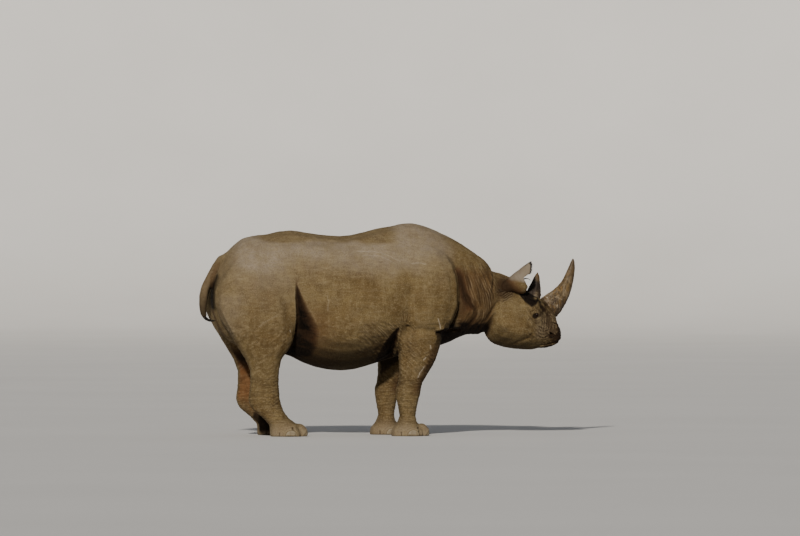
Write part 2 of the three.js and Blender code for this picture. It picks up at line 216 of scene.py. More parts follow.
def normals_of(points, quads):
    a, b, c, d = (points[quads[:, i]] for i in range(4))
    face = np.cross(c - a, d - b)
    out = np.zeros_like(points)
    for corner in range(4):
        for axis in range(3):
            out[:, axis] += np.bincount(quads[:, corner], face[:, axis], len(points))
    return out / np.maximum(np.linalg.norm(out, axis=1), 1e-12)[:, None]


def refined(points, quads, chosen):
    """Cuts each chosen quad in four. A quad beside one gets triangles fanned to the new points, and a
    triangle is kept as a quad whose last corner is there twice."""
    count = len(points)
    ends = np.sort(np.stack([quads, np.roll(quads, -1, axis=1)], axis=2), axis=2)
    key = ends[:, :, 0] * count + ends[:, :, 1]
    real = ends[:, :, 0] != ends[:, :, 1]
    chosen = chosen & real.all(axis=1)
    cut = np.unique(key[chosen])
    middles = (points[cut // count] + points[cut % count]) / 2
    where = np.minimum(np.searchsorted(cut, key), len(cut) - 1)
    mid = np.where((cut[where] == key) & real, count + where, -1)
    q, m = quads[chosen], mid[chosen]
    centres = points[q].mean(axis=1)
    centre_at = count + len(middles) + np.arange(len(centres))
    out = [np.stack([q[:, i], m[:, i], centre_at, m[:, i - 1]], axis=1) for i in range(4)]
    touched = (mid >= 0).any(axis=1)
    out.append(quads[~touched & ~chosen])
    fans = []
    for f in np.flatnonzero(touched & ~chosen):
        ring = []
        for i in range(4 if real[f, 2] else 3):
            ring += [quads[f, i], mid[f, i]] if mid[f, i] >= 0 else [quads[f, i]]
        start = next(i for i, v in enumerate(ring) if v >= count)
        ring = ring[start:] + ring[:start]
        fans += [(ring[0], ring[i], ring[i + 1], ring[i + 1]) for i in range(1, len(ring) - 1)]
    out.append(np.reshape(fans, (-1, 4)).astype(int))
    return np.concatenate([points, middles, centres]), np.concatenate(out)


def ring_quads(rows, columns):
    """The quads between rows of points, where each row is a closed ring."""
    r, c = (g.ravel() for g in np.meshgrid(np.arange(rows - 1), np.arange(columns), indexing="ij"))
    n = (c + 1) % columns
    return np.stack([r * columns + c, r * columns + n, (r + 1) * columns + n, (r + 1) * columns + c], axis=1)


class Clay:
    """A surface while it is being shaped."""

    def __init__(self, points, quads):
        self.points, self.quads = points, quads
        self.tint = {}
        self.update()

    def update(self):
        """Finds again the normals and each point's place on the straight animal; y counts outwards on both
        sides."""
        self.normals = normals_of(self.points, self.quads)
        self.at = straighten(self.points)
        self.x, self.y, self.z = self.at[:, 0], np.abs(self.at[:, 1]), self.at[:, 2]
        self.facing = turned(self.normals, -neck_angle(self.points))

    def away(self, place):
        """How far each point is from a place, on either side of the body."""
        return np.linalg.norm(np.stack([self.x, self.y, self.z], axis=1) - place, axis=1)

    def neighbours(self):
        pairs = np.concatenate([self.quads[:, [i, (i + 1) % 4]] for i in range(4)])
        pairs = pairs[pairs[:, 0] != pairs[:, 1]]
        a, b = np.concatenate([pairs, pairs[:, ::-1]]).T
        return a, b, 1 / np.maximum(np.bincount(a, minlength=len(self.points)), 1)

    def averaged(self, values, joins):
        a, b, share = joins
        values = values.reshape(len(self.points), -1)
        mean = [np.bincount(a, values[b, i], len(self.points)) * share for i in range(values.shape[1])]
        return np.stack(mean, axis=1)

    def relax(self, share, rounds, keep_size=True):
        """Evens the surface out, more where share is larger, without drawing the whole of it in."""
        joins = self.neighbours()
        before = self.points
        share = np.broadcast_to(share, len(before))[:, None]
        for _ in range(rounds):
            self.points = self.points + share * (self.averaged(self.points, joins) - self.points)
        if keep_size:
            self.normals = normals_of(self.points, self.quads)
            lost = ((before - self.points) * self.normals).sum(axis=1)
            for _ in range(12):
                lost = self.averaged(lost, joins)[:, 0]
            self.points += self.normals * lost[:, None]
        self.update()

    def refine(self, chosen):
        """Makes the mesh twice as fine where the points are chosen."""
        packed = np.column_stack([self.points, *self.tint.values()])
        packed, self.quads = refined(packed, self.quads, chosen[self.quads].all(axis=1))
        self.points = packed[:, :3]
        self.tint = {n: packed[:, 3 + i] for i, n in enumerate(self.tint)}
        self.update()

    def push(self, amount):
        self.points += self.normals * amount[:, None]

    def stain(self, name, amount):
        """Adds to a tint that the material reads, which stays from 0 to 1."""
        self.tint[name] = np.clip(self.tint.get(name, 0) + amount, 0, 1)

    def spread(self, index, values):
        """Values for all points: those given at the points of index, and 0 elsewhere."""
        out = np.zeros(len(self.points))
        out[index] = values
        return out

    def hollowness(self, rounds=3):
        """Above 0 in creases and below 0 on ridges, in metres."""
        joins = self.neighbours()
        mean = self.averaged(self.points, joins)
        deep = ((mean - self.points) * self.normals).sum(axis=1)
        for _ in range(rounds):
            deep = self.averaged(deep, joins)[:, 0]
        return deep


def in_scene(name, data):
    obj = bpy.data.objects.new(name, data)
    bpy.context.scene.collection.objects.link(obj)
    return obj


def smooth_mesh(name, points, faces):
    mesh = bpy.data.meshes.new(name)
    mesh.from_pydata(points, [], faces)
    mesh.polygons.foreach_set("use_smooth", [True] * len(mesh.polygons))
    mesh.update()
    return in_scene(name, mesh)


def mesh_object(name, points, quads, tints=None):
    """A smooth mesh object from points and quads, with each tint as an attribute."""
    triangle = quads[:, 2] == quads[:, 3]
    obj = smooth_mesh(name, points.tolist(), quads[~triangle].tolist() + quads[triangle][:, :3].tolist())
    for tint, values in (tints or {}).items():
        layer = obj.data.attributes.new(tint, "FLOAT", "POINT")
        layer.data.foreach_set("value", values.astype(np.float32))
    return obj


# ---------------------------------------------------------------- where things are on the animal


def head_share(at):
    """0 on the neck and 1 on the head, across a slanting line behind the jaw."""
    return smooth(-0.05, 0.03, at[:, 0] - (0.652 + 0.118 * (at[:, 2] - 0.76)))


def leg_share(at, hind):
    """1 on the fore or hind legs and 0 elsewhere."""
    x, y, z = at[:, 0], np.abs(at[:, 1]), at[:, 2]
    if hind:
        return within(x, -1.5, -0.80, 0.03) * (1 - smooth(0.60, 0.75, z)) * smooth(0.02, 0.08, y)
    return within(x, -0.26, 0.36, 0.03) * (1 - smooth(0.62, 0.80, z)) * smooth(0.03, 0.09, y)


def tail_share(at):
    x, y, z = at.T
    behind = -1.36 - 0.55 * np.clip(1.31 - z, 0, 0.2)
    return within(z, 0.88, 1.36, 0.03) * (1 - smooth(behind - 0.03, behind + 0.01, x)) * (np.abs(y) < 0.07)


def own_x(at, hind=False):
    """x as the right legs have it, on the left legs too, which stand further back."""
    back = LEFT_HINDLEG_BACK if hind else LEFT_FORELEG_BACK * (1 - 0.4 * smooth(0.75, 0.9, at[:, 2]))
    return at[:, 0] + np.where(at[:, 1] > 0, back, 0)


FLESH = sorted(
    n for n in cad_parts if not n.startswith(("eye", "horn", "ear", "tail_tuft")) and "nail" not in n
)


def mound(clay, x, y, z, long, wide, tall, height, side_x=None):
    """A soft mass raised round a place on both sides, or a hollow where height is below 0."""
    along = clay.x if side_x is None else side_x
    q = (along - x) ** 2 / long**2 + (clay.y - y) ** 2 / wide**2
    q += (clay.z - z) ** 2 / tall**2
    clay.push(height * np.exp(-q))


def mounds(clay, rows, side_x=None):
    for row in rows:
        mound(clay, *row, side_x)


def crease(clay, points, depth, width, lip=0.0, stain=0.5, ends=0.18, side_x=None, reach=(0.0, 1.0),
           outward=0.25, tint="crease"):
    """Presses a crease along a line through points in side view (x, z), on both flanks. A lip rises on
    its left if lip is above 0 and on its right if below. reach is how far from the midline it runs."""
    line = curve_through(points, 8)
    x, y, z = clay.x if side_x is None else side_x, clay.y, clay.z
    margin = 5 * width + 0.01
    low, high = line.min(axis=0) - margin, line.max(axis=0) + margin
    near = (x > low[0]) & (x < high[0]) & (z > low[1]) & (z < high[1]) & (y > reach[0]) & (y < reach[1])
    index = np.flatnonzero(near & (np.abs(clay.facing[:, 1]) > outward))
    off, share = line_distance(np.stack([x[index], z[index]], axis=1), line)
    off = off + 0.35 * width * noise(clay.at[index], 0.05, 3)
    fade = smooth(0, ends, share) * (1 - smooth(1 - ends, 1, share))
    fade = fade * smooth(outward, outward + 0.3, np.abs(clay.facing[index, 1]))
    pressed = bell(off, width)
    beside = bell(np.abs(off) - 2.2 * width, 1.5 * width) * (off * lip > 0)
    clay.push(clay.spread(index, fade * (-depth * pressed + abs(lip) * beside)))
    # With the crease tint, this stain is painted shade along the crease.
    clay.stain(tint, clay.spread(index, fade * pressed * stain))


def press(clay, amount, depth, stain):
    clay.push(-depth * amount)
    # Painted shade in the pressed valleys, in the crease tint.
    clay.stain("crease", stain * amount)


def wrinkle(clay, mask, scale, depth, seed, lean=0.0, stain=0.25, width=0.38):
    """Presses narrow valleys where mask is above 0. lean tilts them forwards in side view, in radians."""
    index = np.flatnonzero(mask > 0.01)
    p = clay.at[index]
    x, z = p[:, 0].copy(), p[:, 2].copy()
    p[:, 0] = x * math.cos(lean) - z * math.sin(lean)
    p[:, 2] = x * math.sin(lean) + z * math.cos(lean)
    p += 0.25 * np.min(scale) * noise(p, 0.06, seed + 40)[:, None]
    press(clay, clay.spread(index, valleys(p, scale, seed, width) * mask[index]), depth, stain)


def rings(clay, centre, first, last, spacing, depth, seed, mask, stain=0.3):
    """Presses rounded rings about a place, each a little uneven."""
    away = clay.away(centre)
    index = np.flatnonzero((away < last * 1.2) & (mask > 0.01))
    r = away[index] + 0.7 * spacing * noise(clay.at[index], 0.026, seed)
    wave = 0.5 + 0.5 * np.cos(2 * np.pi * (r - first) / spacing)
    wave = wave**3 * smooth(first * 0.85, first, r) * (1 - smooth(last * 0.8, last, r)) * mask[index]
    press(clay, clay.spread(index, wave), depth, stain)


# ---------------------------------------------------------------- the trunk and legs
def even_out(clay):
    """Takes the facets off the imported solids, most on the trunk and least on the feet and tail."""
    at = clay.at
    fine = np.maximum.reduce([leg_share(at, True), leg_share(at, False), head_share(at)])
    feet = 1 - smooth(0.09, 0.16, clay.z)
    tail = tail_share(at)
    clay.relax(0.75 * (1 - 0.45 * feet) * (1 - 0.3 * tail), 14)
    clay.relax(0.85 * (1 - fine) * (1 - tail) * (1 - feet), 55)
    tail_root = bell(np.linalg.norm(clay.at - (-1.345, 0, 1.375), axis=1), 0.085)
    clay.relax(0.9 * tail_root, 40)
    nape = bell(head_share(clay.at) - 0.5, 0.45) * smooth(0.68, 0.78, clay.z)
    clay.relax(0.8 * nape, 16)
    clay.push(0.007 * tail_share(clay.at) * smooth(0.05, 0.09, -1.25 - clay.x))
    mound(clay, -1.338, 0, 1.385, 0.045, 0.07, 0.035, 0.010)


# Masses on the body: x, y and z of the middle, how far each reaches along those, and its height.
TRUNK_MASSES = [
    (-0.95, 0.25, 1.43, 0.10, 0.12, 0.07, 0.012),  # hip bone
    (-1.16, 0.26, 1.28, 0.14, 0.14, 0.12, 0.008),  # rump muscle
    (-0.86, 0.26, 1.30, 0.08, 0.12, 0.06, -0.008),  # dip before the hip
    (-0.93, 0.40, 0.86, 0.09, 0.10, 0.20, 0.010),  # front of the thigh
    (0.20, 0.33, 1.16, 0.13, 0.12, 0.22, 0.010),  # shoulder blade's muscle
    (0.02, 0.38, 1.05, 0.05, 0.14, 0.20, -0.010),  # groove behind the shoulder
    (0.45, 0.20, 0.91, 0.050, 0.10, 0.080, 0.014),  # lobe in front of the shoulder
    (0.45, 0.24, 1.13, 0.040, 0.10, 0.10, -0.010),  # hollow above it
]
FORELEG_MASSES = [
    (-0.045, 0.30, 0.735, 0.045, 0.07, 0.06, 0.014),  # elbow
    (0.095, 0.23, 0.33, 0.04, 0.06, 0.05, 0.007),  # knee
    (0.10, 0.33, 0.60, 0.07, 0.05, 0.12, 0.008),  # forearm
    (0.02, 0.29, 0.47, 0.03, 0.05, 0.12, -0.006),  # groove behind it
]
HINDLEG_MASSES = [
    (-1.18, 0.23, 0.245, 0.035, 0.05, 0.045, 0.008),  # point of the hock
    (-1.13, 0.29, 0.36, 0.022, 0.05, 0.13, -0.007),  # groove before the tendon
    (-1.00, 0.30, 0.66, 0.09, 0.08, 0.08, 0.010),  # stifle
    (-1.20, 0.33, 0.80, 0.09, 0.08, 0.13, 0.008),  # back of the thigh
]
HEAD_MASSES = [
    (0.82, 0.18, 0.845, 0.115, 0.09, 0.125, 0.012),  # cheek
    (0.965, 0.17, 0.985, 0.06, 0.05, 0.035, 0.009),  # ridge over the eye
    (1.010, 0.17, 0.925, 0.055, 0.05, 0.05, 0.009),  # orbit
    (0.885, 0.16, 1.065, 0.06, 0.06, 0.045, -0.010),  # temple
    (1.08, 0.14, 0.83, 0.05, 0.05, 0.06, -0.006),  # hollow before the cheek
    (0.715, 0.115, 1.13, 0.06, 0.06, 0.06, 0.014),  # root of the ear
    (1.19, 0.09, 0.80, 0.045, 0.05, 0.045, 0.006),  # muzzle
    (1.16, 0.08, 0.90, 0.05, 0.05, 0.05, 0.005),  # skin round the front horn
    (0.745, 0.0, 1.275, 0.055, 0.10, 0.05, -0.016),  # nape in front of the hump's edge
    (1.270, 0.0, 0.815, 0.035, 0.12, 0.040, -0.010),  # blunt front of the nose
    (1.258, 0.0, 0.872, 0.050, 0.12, 0.040, -0.024),  # step between the horn and the nose
    (1.245, 0.06, 0.735, 0.03, 0.05, 0.02, 0.006),  # hooked upper lip
]
RIBS = np.arange(-0.62, 0.0, 0.085)


def trunk_masses(clay):
    mounds(clay, TRUNK_MASSES)
    mounds(clay, [(x, 0.43, 1.02, 0.022, 0.2, 0.20, 0.0022) for x in RIBS])
    lumps = 0.006 * noise(clay.at, (0.30, 0.5, 0.34), 1) + 0.003 * noise(clay.at, (0.12, 0.3, 0.15), 2)
    clay.push(lumps * (1 - head_share(clay.at)) * smooth(0.5, 0.7, clay.z))


# Down the standing edge of each pocket: x, z, how wide the pocket is and how deep.
FLANK_POCKET = [
    (-0.850, 1.215, 0.010, 0.000), (-0.852, 1.15, 0.014, 0.012), (-0.853, 1.06, 0.055, 0.036),
    (-0.846, 0.93, 0.115, 0.056), (-0.846, 0.80, 0.175, 0.066), (-0.870, 0.68, 0.190, 0.040),
    (-0.90, 0.60, 0.19, 0.0),
]
ELBOW_POCKET = [
    (-0.060, 0.835, 0.020, 0.000), (-0.070, 0.78, 0.060, 0.026), (-0.074, 0.71, 0.110, 0.048),
    (-0.074, 0.62, 0.140, 0.055), (-0.078, 0.55, 0.150, 0.030), (-0.080, 0.50, 0.150, 0.000),
]


# The neck sinks behind the shoulder's edge.
NECK_POCKET = [
    (0.300, 1.420, 0.030, 0.000), (0.372, 1.311, 0.070, 0.006), (0.403, 1.197, 0.090, 0.012),
    (0.413, 1.083, 0.090, 0.014), (0.404, 0.969, 0.075, 0.020), (0.380, 0.900, 0.060, 0.026),
    (0.350, 0.850, 0.050, 0.020), (0.330, 0.810, 0.050, 0.000),
]


def pocket(clay, rows, way, x, shade, warmth=0.95):
    """Slack skin sunk beside a standing edge, most against it, red-brown and in painted shade; it lies ahead
    of the edge where way is 1.
    """
    rows = np.array(rows)[::-1]
    edge, wide, deep = (np.interp(clay.z, rows[:, 1], rows[:, i]) for i in (0, 2, 3))
    off = way * (x - edge)
    across = np.clip(off / wide, 0, 1)
    deep = deep * smooth(0.1, 0.35, np.abs(clay.facing[:, 1]))
    clay.push(-deep * (1 - across) ** 1.5 * smooth(-0.006, 0.008, off))
    clay.push(0.10 * deep * bell(off + 0.035, 0.030))
    # Painted shade against the edge, as strong as shade, over red-brown skin, as strong as warmth.
    dark = (1 - across**3) * smooth(-0.004, 0.010, off) * np.clip(deep / 0.02, 0, 1)
    clay.stain("warm", warmth * dark)
    clay.stain("dark", shade * dark)


# Creases of the trunk: depth, width, lip, stain (painted shade in the crease) and the line in side view.
TRUNK_CREASES = [
    (0.005, 0.022, 0.003, 0.15, [(-1.02, 1.462), (-0.72, 1.466), (-0.40, 1.478)]),  # beside the spine
    (0.007, 0.009, 0.004, 0.7, [(-1.46, 0.985), (-1.43, 0.93), (-1.39, 0.84), (-1.325, 0.725)]),  # buttock
    (0.006, 0.008, 0.004, 0.5, [(-1.43, 0.97), (-1.40, 0.90), (-1.365, 0.83), (-1.30, 0.735)]),
    (0.003, 0.016, -0.004, 0.10, [(0.30, 1.40), (0.370, 1.311), (0.401, 1.197), (0.411, 1.083),
                                  (0.401, 0.969), (0.372, 0.90)]),  # edge of the shoulder
    (0.010, 0.012, -0.003, 0.6, [(0.405, 1.03), (0.401, 0.969), (0.378, 0.92), (0.350, 0.85)]),
    (0.022, 0.010, 0.012, 0.9, [(0.205, 0.780), (0.27, 0.800), (0.36, 0.806), (0.45, 0.812)]),  # chest
]
# The red-brown groove in front of the shoulder, with the shoulder's painted shadow on the neck, and the fold
# ahead of it.
RED_GROOVE = [
    (0.38, 1.30), (0.406, 1.23), (0.428, 1.16), (0.447, 1.10), (0.468, 1.04), (0.492, 0.985), (0.514, 0.945),
]
THROAT_FOLD = [
    (0.455, 1.10), (0.483, 1.04), (0.508, 0.99), (0.527, 0.95), (0.533, 0.91), (0.516, 0.864), (0.50, 0.817),
]
# Thin folds over the armpit: x and z of the upper end, x and z of the lower end, and strength.
ARMPIT_FOLDS = [
    (-0.066, 0.935, -0.050, 0.850, 0.7), (-0.045, 0.985, -0.038, 0.838, 1.0),
    (-0.028, 0.965, -0.024, 0.872, 0.6), (-0.008, 0.960, -0.012, 0.845, 1.0),
    (0.016, 0.925, 0.002, 0.862, 0.6),
]


def trunk_creases(clay):
    for *size, line in TRUNK_CREASES:
        crease(clay, line, *size)
    crease(clay, RED_GROOVE, 0.004, 0.026, stain=1.0, ends=0.12, tint="warm")
    # The shoulder's painted shadow on the neck, along the groove.
    crease(clay, RED_GROOVE, 0.0, 0.026, stain=0.50, ends=0.22, tint="dark")
    crease(clay, THROAT_FOLD, 0.009, 0.013, 0.002, stain=0.75, outward=0.1)
    for top, high, foot, low, weight in ARMPIT_FOLDS:
        bow = (top + foot) / 2 + 0.005
        fold = [(top, high), (bow, (high + low) / 2), (foot, low)]
        crease(clay, fold, 0.0042 * weight, 0.0040, 0.0015, 0.26 * weight, 0.35)
    mound(clay, 0.004, 0.33, 0.834, 0.011, 0.2, 0.011, -0.007)


# Folds in front of the hock: height, how far back they reach and strength.
HOCK_FOLDS = [
    (0.245, -1.05, 0.9), (0.268, -1.03, 0.6), (0.300, -1.07, 1.0), (0.318, -1.02, 0.5),
    (0.352, -1.06, 0.9), (0.392, -1.03, 0.6),
]
# Slots between the toes of the fore and hind feet: the line, the depth, the width and the lip.
FORE_SLOTS = [
    ([(0.086, 0.078), (0.090, 0.03), (0.093, 0.0)], 0.018, 0.0085, 0.003),
    ([(-0.048, 0.045), (-0.046, 0.02), (-0.045, 0.0)], 0.007, 0.004, 0.0),
]
HIND_SLOTS = [
    ([(-0.874, 0.085), (-0.870, 0.03), (-0.868, 0.0)], 0.014, 0.0075, 0.003),
    ([(-0.975, 0.040), (-0.977, 0.02), (-0.978, 0.0)], 0.006, 0.004, 0.0),
]


def leg_creases(clay):
    fore, hind = own_x(clay.at), own_x(clay.at, True)
    for z, back, weight in HOCK_FOLDS:
        fold = [(-0.955, z + 0.035), (-1.00, z + 0.004), (back, z - 0.020)]
        crease(clay, fold, 0.0024 * weight, 0.0048, 0.0, 0.36 * weight, 0.3, hind)
    for side_x, slots in ((fore, FORE_SLOTS), (hind, HIND_SLOTS)):
        for slot in slots:
            crease(clay, *slot, stain=0.75, ends=0.02, side_x=side_x, outward=0.0)


def body_wrinkles(clay):
    at, x, y, z = clay.at, clay.x, clay.y, clay.z
    off_head = 1 - head_share(at)
    neck = off_head * within(x, 0.46, 0.72, 0.05) * within(z, 0.78, 1.28, 0.06)
    upper = smooth(0.92, 1.02, z)
    wrinkle(clay, neck * upper, (0.021, 0.07, 0.17), 0.0034, 11, -0.24, 0.42)
    wrinkle(clay, neck * upper, (0.011, 0.05, 0.10), 0.0020, 12, -0.24, 0.34)
    wrinkle(clay, neck * (1 - upper), (0.020, 0.07, 0.14), 0.0036, 11, 0.30, 0.42)
    legs = np.maximum(leg_share(at, False), leg_share(at, True))
    legs = legs * (1 - smooth(0.40, 0.5, z)) * smooth(0.07, 0.12, z)
    wrinkle(clay, legs, (0.075, 0.075, 0.0105), 0.0019, 13, 0.0, 0.34)
    wrinkle(clay, legs, (0.020, 0.020, 0.013), 0.0013, 14, 0.0, 0.22)
    forearm = leg_share(at, False) * within(z, 0.42, 0.74, 0.06)
    wrinkle(clay, forearm, (0.060, 0.06, 0.014), 0.0020, 15, 0.75, 0.26)
    wrinkle(clay, forearm, (0.045, 0.06, 0.012), 0.0014, 19, -0.45, 0.2)
    elbow = within(x, -0.32, 0.02, 0.1) * within(z, 0.64, 0.84, 0.07) * smooth(0.15, 0.2, y)
    wrinkle(clay, elbow, (0.065, 0.06, 0.013), 0.0022, 20, 0.75, 0.32)
    thigh = within(x, -1.35, -0.85, 0.05) * within(z, 0.45, 0.80, 0.08)
    wrinkle(clay, thigh, (0.05, 0.06, 0.022), 0.002, 16, -0.6, 0.3)
    trunk = off_head * smooth(0.6, 0.75, z) * (1 - neck)
    wrinkle(clay, 0.7 * trunk, (0.045, 0.06, 0.030), 0.0016, 17, 0.0, 0.18)
    wrinkle(clay, 0.6 * trunk, (0.10, 0.12, 0.035), 0.0016, 18, 0.2, 0.12)


NAILS = sorted(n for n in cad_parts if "nail" in n)


def box_of(name):
    return (np.array(c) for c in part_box(name))


def nail_arch(points, name):
    """How far out from a nail's middle points lie, 1 on its arched edge, and the way the nail faces."""
    low, high = box_of(name)
    across = 1 if "middle" in name else 0
    side = np.sign(low[1]) * (-1 if "inner" in name else 1)
    out = np.array([1.0, 0, 0] if across else [0, side, 0])
    wide = 2 * (points[:, across] - low[across]) / (high[across] - low[across]) - 1
    up = np.clip((points[:, 2] - low[2]) / (high[2] - low[2]) - 0.2, 0, None) / 0.76
    return np.hypot(wide / 1.02, up), out


def nail_beds(clay):
    """Sinks the skin under each nail's arch and raises a cuticle round it."""
    for name in NAILS:
        low, high = box_of(name)
        near = ((clay.points > low - 0.02) & (clay.points < high + 0.02)).all(axis=1)
        arch, out = nail_arch(clay.points, name)
        near = near & (clay.normals @ out > 0.15)
        clay.push(near * (0.0042 * bell(arch - 1.16, 0.12) - 0.0075 * (1 - smooth(0.86, 1.0, arch))))
        # Painted shade in the groove round the nail, and a painted highlight on the cuticle.
        clay.stain("crease", 0.4 * near * bell(arch - 1.0, 0.06))
        clay.stain("ridge", 0.9 * near * bell(arch - 1.14, 0.10))


# ---------------------------------------------------------------- the head
EAR_BASE = np.array([0.715, 0.110, 1.144])
MOUTH = [(1.268, 0.735), (1.235, 0.718), (1.18, 0.703), (1.12, 0.692), (1.06, 0.688)]
NOSTRIL = (1.150, 0.772)


def head_masses(clay):
    mounds(clay, HEAD_MASSES)
    lumps = 0.0035 * noise(clay.at, 0.075, 5) + 0.0018 * noise(clay.at, 0.038, 6)
    clay.push(lumps * head_share(clay.at))


NAPE_STEP = [(0.694, 1.36), (0.689, 1.28), (0.672, 1.20), (0.652, 1.12), (0.640, 1.04)]
JAW_EDGE = [(0.727, 1.051), (0.675, 0.998), (0.634, 0.922), (0.600, 0.850)]
CHEEK_FOLD = [(0.985, 0.790), (0.945, 0.750), (0.895, 0.722), (0.83, 0.705)]
# Folds of the neck: x and z of the upper end, of the middle and of the lower end, and strength.
NECK_FOLDS = [
    (0.553, 1.235, 0.604, 1.016, 0.606, 0.869, 1.0), (0.570, 1.150, 0.612, 1.065, 0.630, 0.960, 0.8),
    (0.652, 1.215, 0.680, 1.130, 0.727, 1.051, 0.8), (0.472, 1.235, 0.492, 1.165, 0.500, 1.100, 0.8),
    (0.515, 1.220, 0.548, 1.100, 0.562, 0.980, 0.7), (0.600, 1.180, 0.640, 1.080, 0.655, 0.985, 0.8),
    (0.575, 0.970, 0.578, 0.900, 0.560, 0.840, 0.8), (0.640, 0.955, 0.610, 0.895, 0.578, 0.845, 0.8),
]
# Each neck fold is drawn three times: how far beside its line and how strong.
FOLD_LINES = [(0.0, 1.0), (0.016, 0.55), (-0.011, 0.4)]


def head_creases(clay):
    crease(clay, JAW_EDGE, 0.0050, 0.011, 0.002, 0.40)
    crease(clay, NAPE_STEP, 0.012, 0.010, -0.004, 0.55, 0.3, reach=(-1, 0.4), outward=-1.4)
    for *places, weight in NECK_FOLDS:
        for beside, share in FOLD_LINES:
            fold = np.reshape(places, (3, 2)) + (beside, 0.6 * beside)
            crease(clay, fold, 0.0040 * weight * share, 0.0042, 0.0015, 0.75 * weight * share, 0.3)
    crease(clay, CHEEK_FOLD, 0.0025, 0.012, 0.001, 0.25)
    crease(clay, MOUTH, 0.010, 0.0045, 0.003, 0.85, 0.10, reach=(0.0, 0.4), outward=0.0)
    face = {"reach": (0.03, 0.4), "outward": 0.12}
    for k in range(7):
        top, foot = 1.065 + 0.017 * k, 1.050 + 0.024 * k
        low = 0.80 - 0.006 * abs(k - 3)
        fold = [(top, 0.955 - 0.012 * k), (top + 0.006, 0.895 - 0.006 * k)]
        fold += [(foot + 0.014, 0.845), (foot, low)]
        crease(clay, fold, 0.0035, 0.0042, 0.0015, 0.4, **face)
    for k in range(4):
        z = 0.745 + 0.024 * k
        fold = [(1.02, z + 0.02), (1.07, z + 0.002), (1.12, z + 0.008)]
        crease(clay, fold, 0.0022, 0.004, 0.001, 0.3, **face)


def head_wrinkles(clay):
    x, z = clay.x, clay.z
    head = head_share(clay.at)
    rings(clay, EYE_AT, 0.036, 0.080, 0.0105, 0.0020, 21, head, 0.32)
    under_ear = head * smooth(0.0, 0.05, x - 0.70 + 0.4 * (z - 1.05)) * (1 - smooth(1.13, 1.17, z))
    rings(clay, EAR_BASE, 0.055, 0.150, 0.0150, 0.0062, 22, np.maximum(under_ear, 0.4 * head), 0.95)
    muzzle = head * smooth(1.05, 1.13, x)
    wrinkle(clay, muzzle, (0.024, 0.02, 0.012), 0.0028, 23, 0.5, 0.62, 0.42)
    wrinkle(clay, muzzle, (0.011, 0.01, 0.007), 0.0012, 24, 0.5, 0.36, 0.42)
    wrinkle(clay, 0.6 * head, (0.022, 0.03, 0.013), 0.0013, 25, 0.7, 0.22)
    face = head * within(x, 0.95, 1.20, 0.05) * within(z, 0.76, 0.98, 0.05)
    wrinkle(clay, face, (0.050, 0.03, 0.0115), 0.0030, 27, 1.05, 0.50)
    wrinkle(clay, 0.8 * head * (1 - smooth(0.70, 0.74, z)), (0.05, 0.02, 0.013), 0.002, 26, 0.0, 0.3)


def nostrils(clay):
    """A comma-shaped nostril on each side, with a raised rim."""
    x, z = clay.x - NOSTRIL[0], clay.z - NOSTRIL[1]
    u, v = x * 0.87 - z * 0.5, x * 0.5 + z * 0.87
    v = v - 12 * u**2
    near = np.abs(clay.facing[:, 1]) > 0.2
    round_it = np.sqrt((u / 0.019) ** 2 + (v / 0.0095) ** 2)
    clay.push(near * (0.0065 * bell(round_it - 1.5, 0.55) - 0.017 * (1 - smooth(0.55, 1.2, round_it))))
    # Painted shade inside the nostril.
    clay.stain("crease", near * (1 - smooth(0.7, 1.3, round_it)))
    clay.stain("dark", near * (1 - smooth(0.9, 1.8, round_it)))


# The eyelids: half the length of their opening, its height above and below the corners, and their thickness.
EYE_LONG, EYE_TOP, EYE_LOW, LID = 0.0190, 0.0072, 0.0098, 0.0045


def eye_frame(side):
    """An eye's middle and its own outward, forward and upward directions, in the model's frame."""
    centre = placed(EYE_AT * (1, side, 1))[0]
    out = np.array([-0.10, side, -0.03])
    out /= np.linalg.norm(out)
    ahead = np.array([0.94, -side * 0.10, -0.33])
    ahead -= out * (ahead @ out)
    ahead /= np.linalg.norm(ahead)
    basis = turned(np.array([out, ahead, np.cross(ahead, out) * side]), np.full(3, NECK_TURN))
    return centre, *basis


def eyelids(clay):
    """Lays the skin over each eyeball, with an almond opening between thick lids."""
    for side in (-1, 1):
        centre, out, ahead, up = eye_frame(side)
        off = clay.points - centre
        away = np.linalg.norm(off, axis=1)
        index = np.flatnonzero((away < 0.06) & (off @ out > -0.002))
        off, away = off[index], away[index]
        to = off / away[:, None]
        u, v = to @ ahead * EYE_RADIUS + 0.003, to @ up * EYE_RADIUS + 0.002
        opened = (u / EYE_LONG) ** 2 + np.abs(v) / np.where(v > 0, EYE_TOP, EYE_LOW)
        lid = EYE_RADIUS + LID * (1 + 0.30 * bell(opened - 1.25, 0.22)) - 0.0024 * bell(opened - 1.95, 0.16)
        edge = smooth(0.90, 1.10, opened)
        radius = (EYE_RADIUS - 0.004) * (1 - edge) + lid * edge
        hold = 1 - smooth(0.030, 0.047, away)
        clay.points[index] += (hold * (radius - away))[:, None] * to
        # A dark disc round the eye, behind and below it: dark lid skin and painted shade.
        spot = np.hypot(off @ ahead + 0.009, off @ up + 0.012)
        clay.stain("dark", clay.spread(index, 0.98 * (1 - smooth(0.019, 0.030, spot))))
    clay.update()


# ---------------------------------------------------------------- ears
def spline(xs, rows, x):
    """Rows read smoothly between their places."""
    xs, rows = np.array(xs, float), np.array(rows, float)
    slopes = np.gradient(rows, xs, axis=0)
    i = np.clip(np.searchsorted(xs, x) - 1, 0, len(xs) - 2)
    h = xs[i + 1] - xs[i]
    t = np.clip((x - xs[i]) / h, 0, 1)[:, None]
    h = h[:, None]
    return (
        (2 * t**3 - 3 * t**2 + 1) * rows[i] + (t**3 - 2 * t**2 + t) * h * slopes[i]
        + (3 * t**2 - 2 * t**3) * rows[i + 1] + (t**3 - t**2) * h * slopes[i + 1]
    )


EAR_THICK, EAR_ROOT = 0.013, -0.35
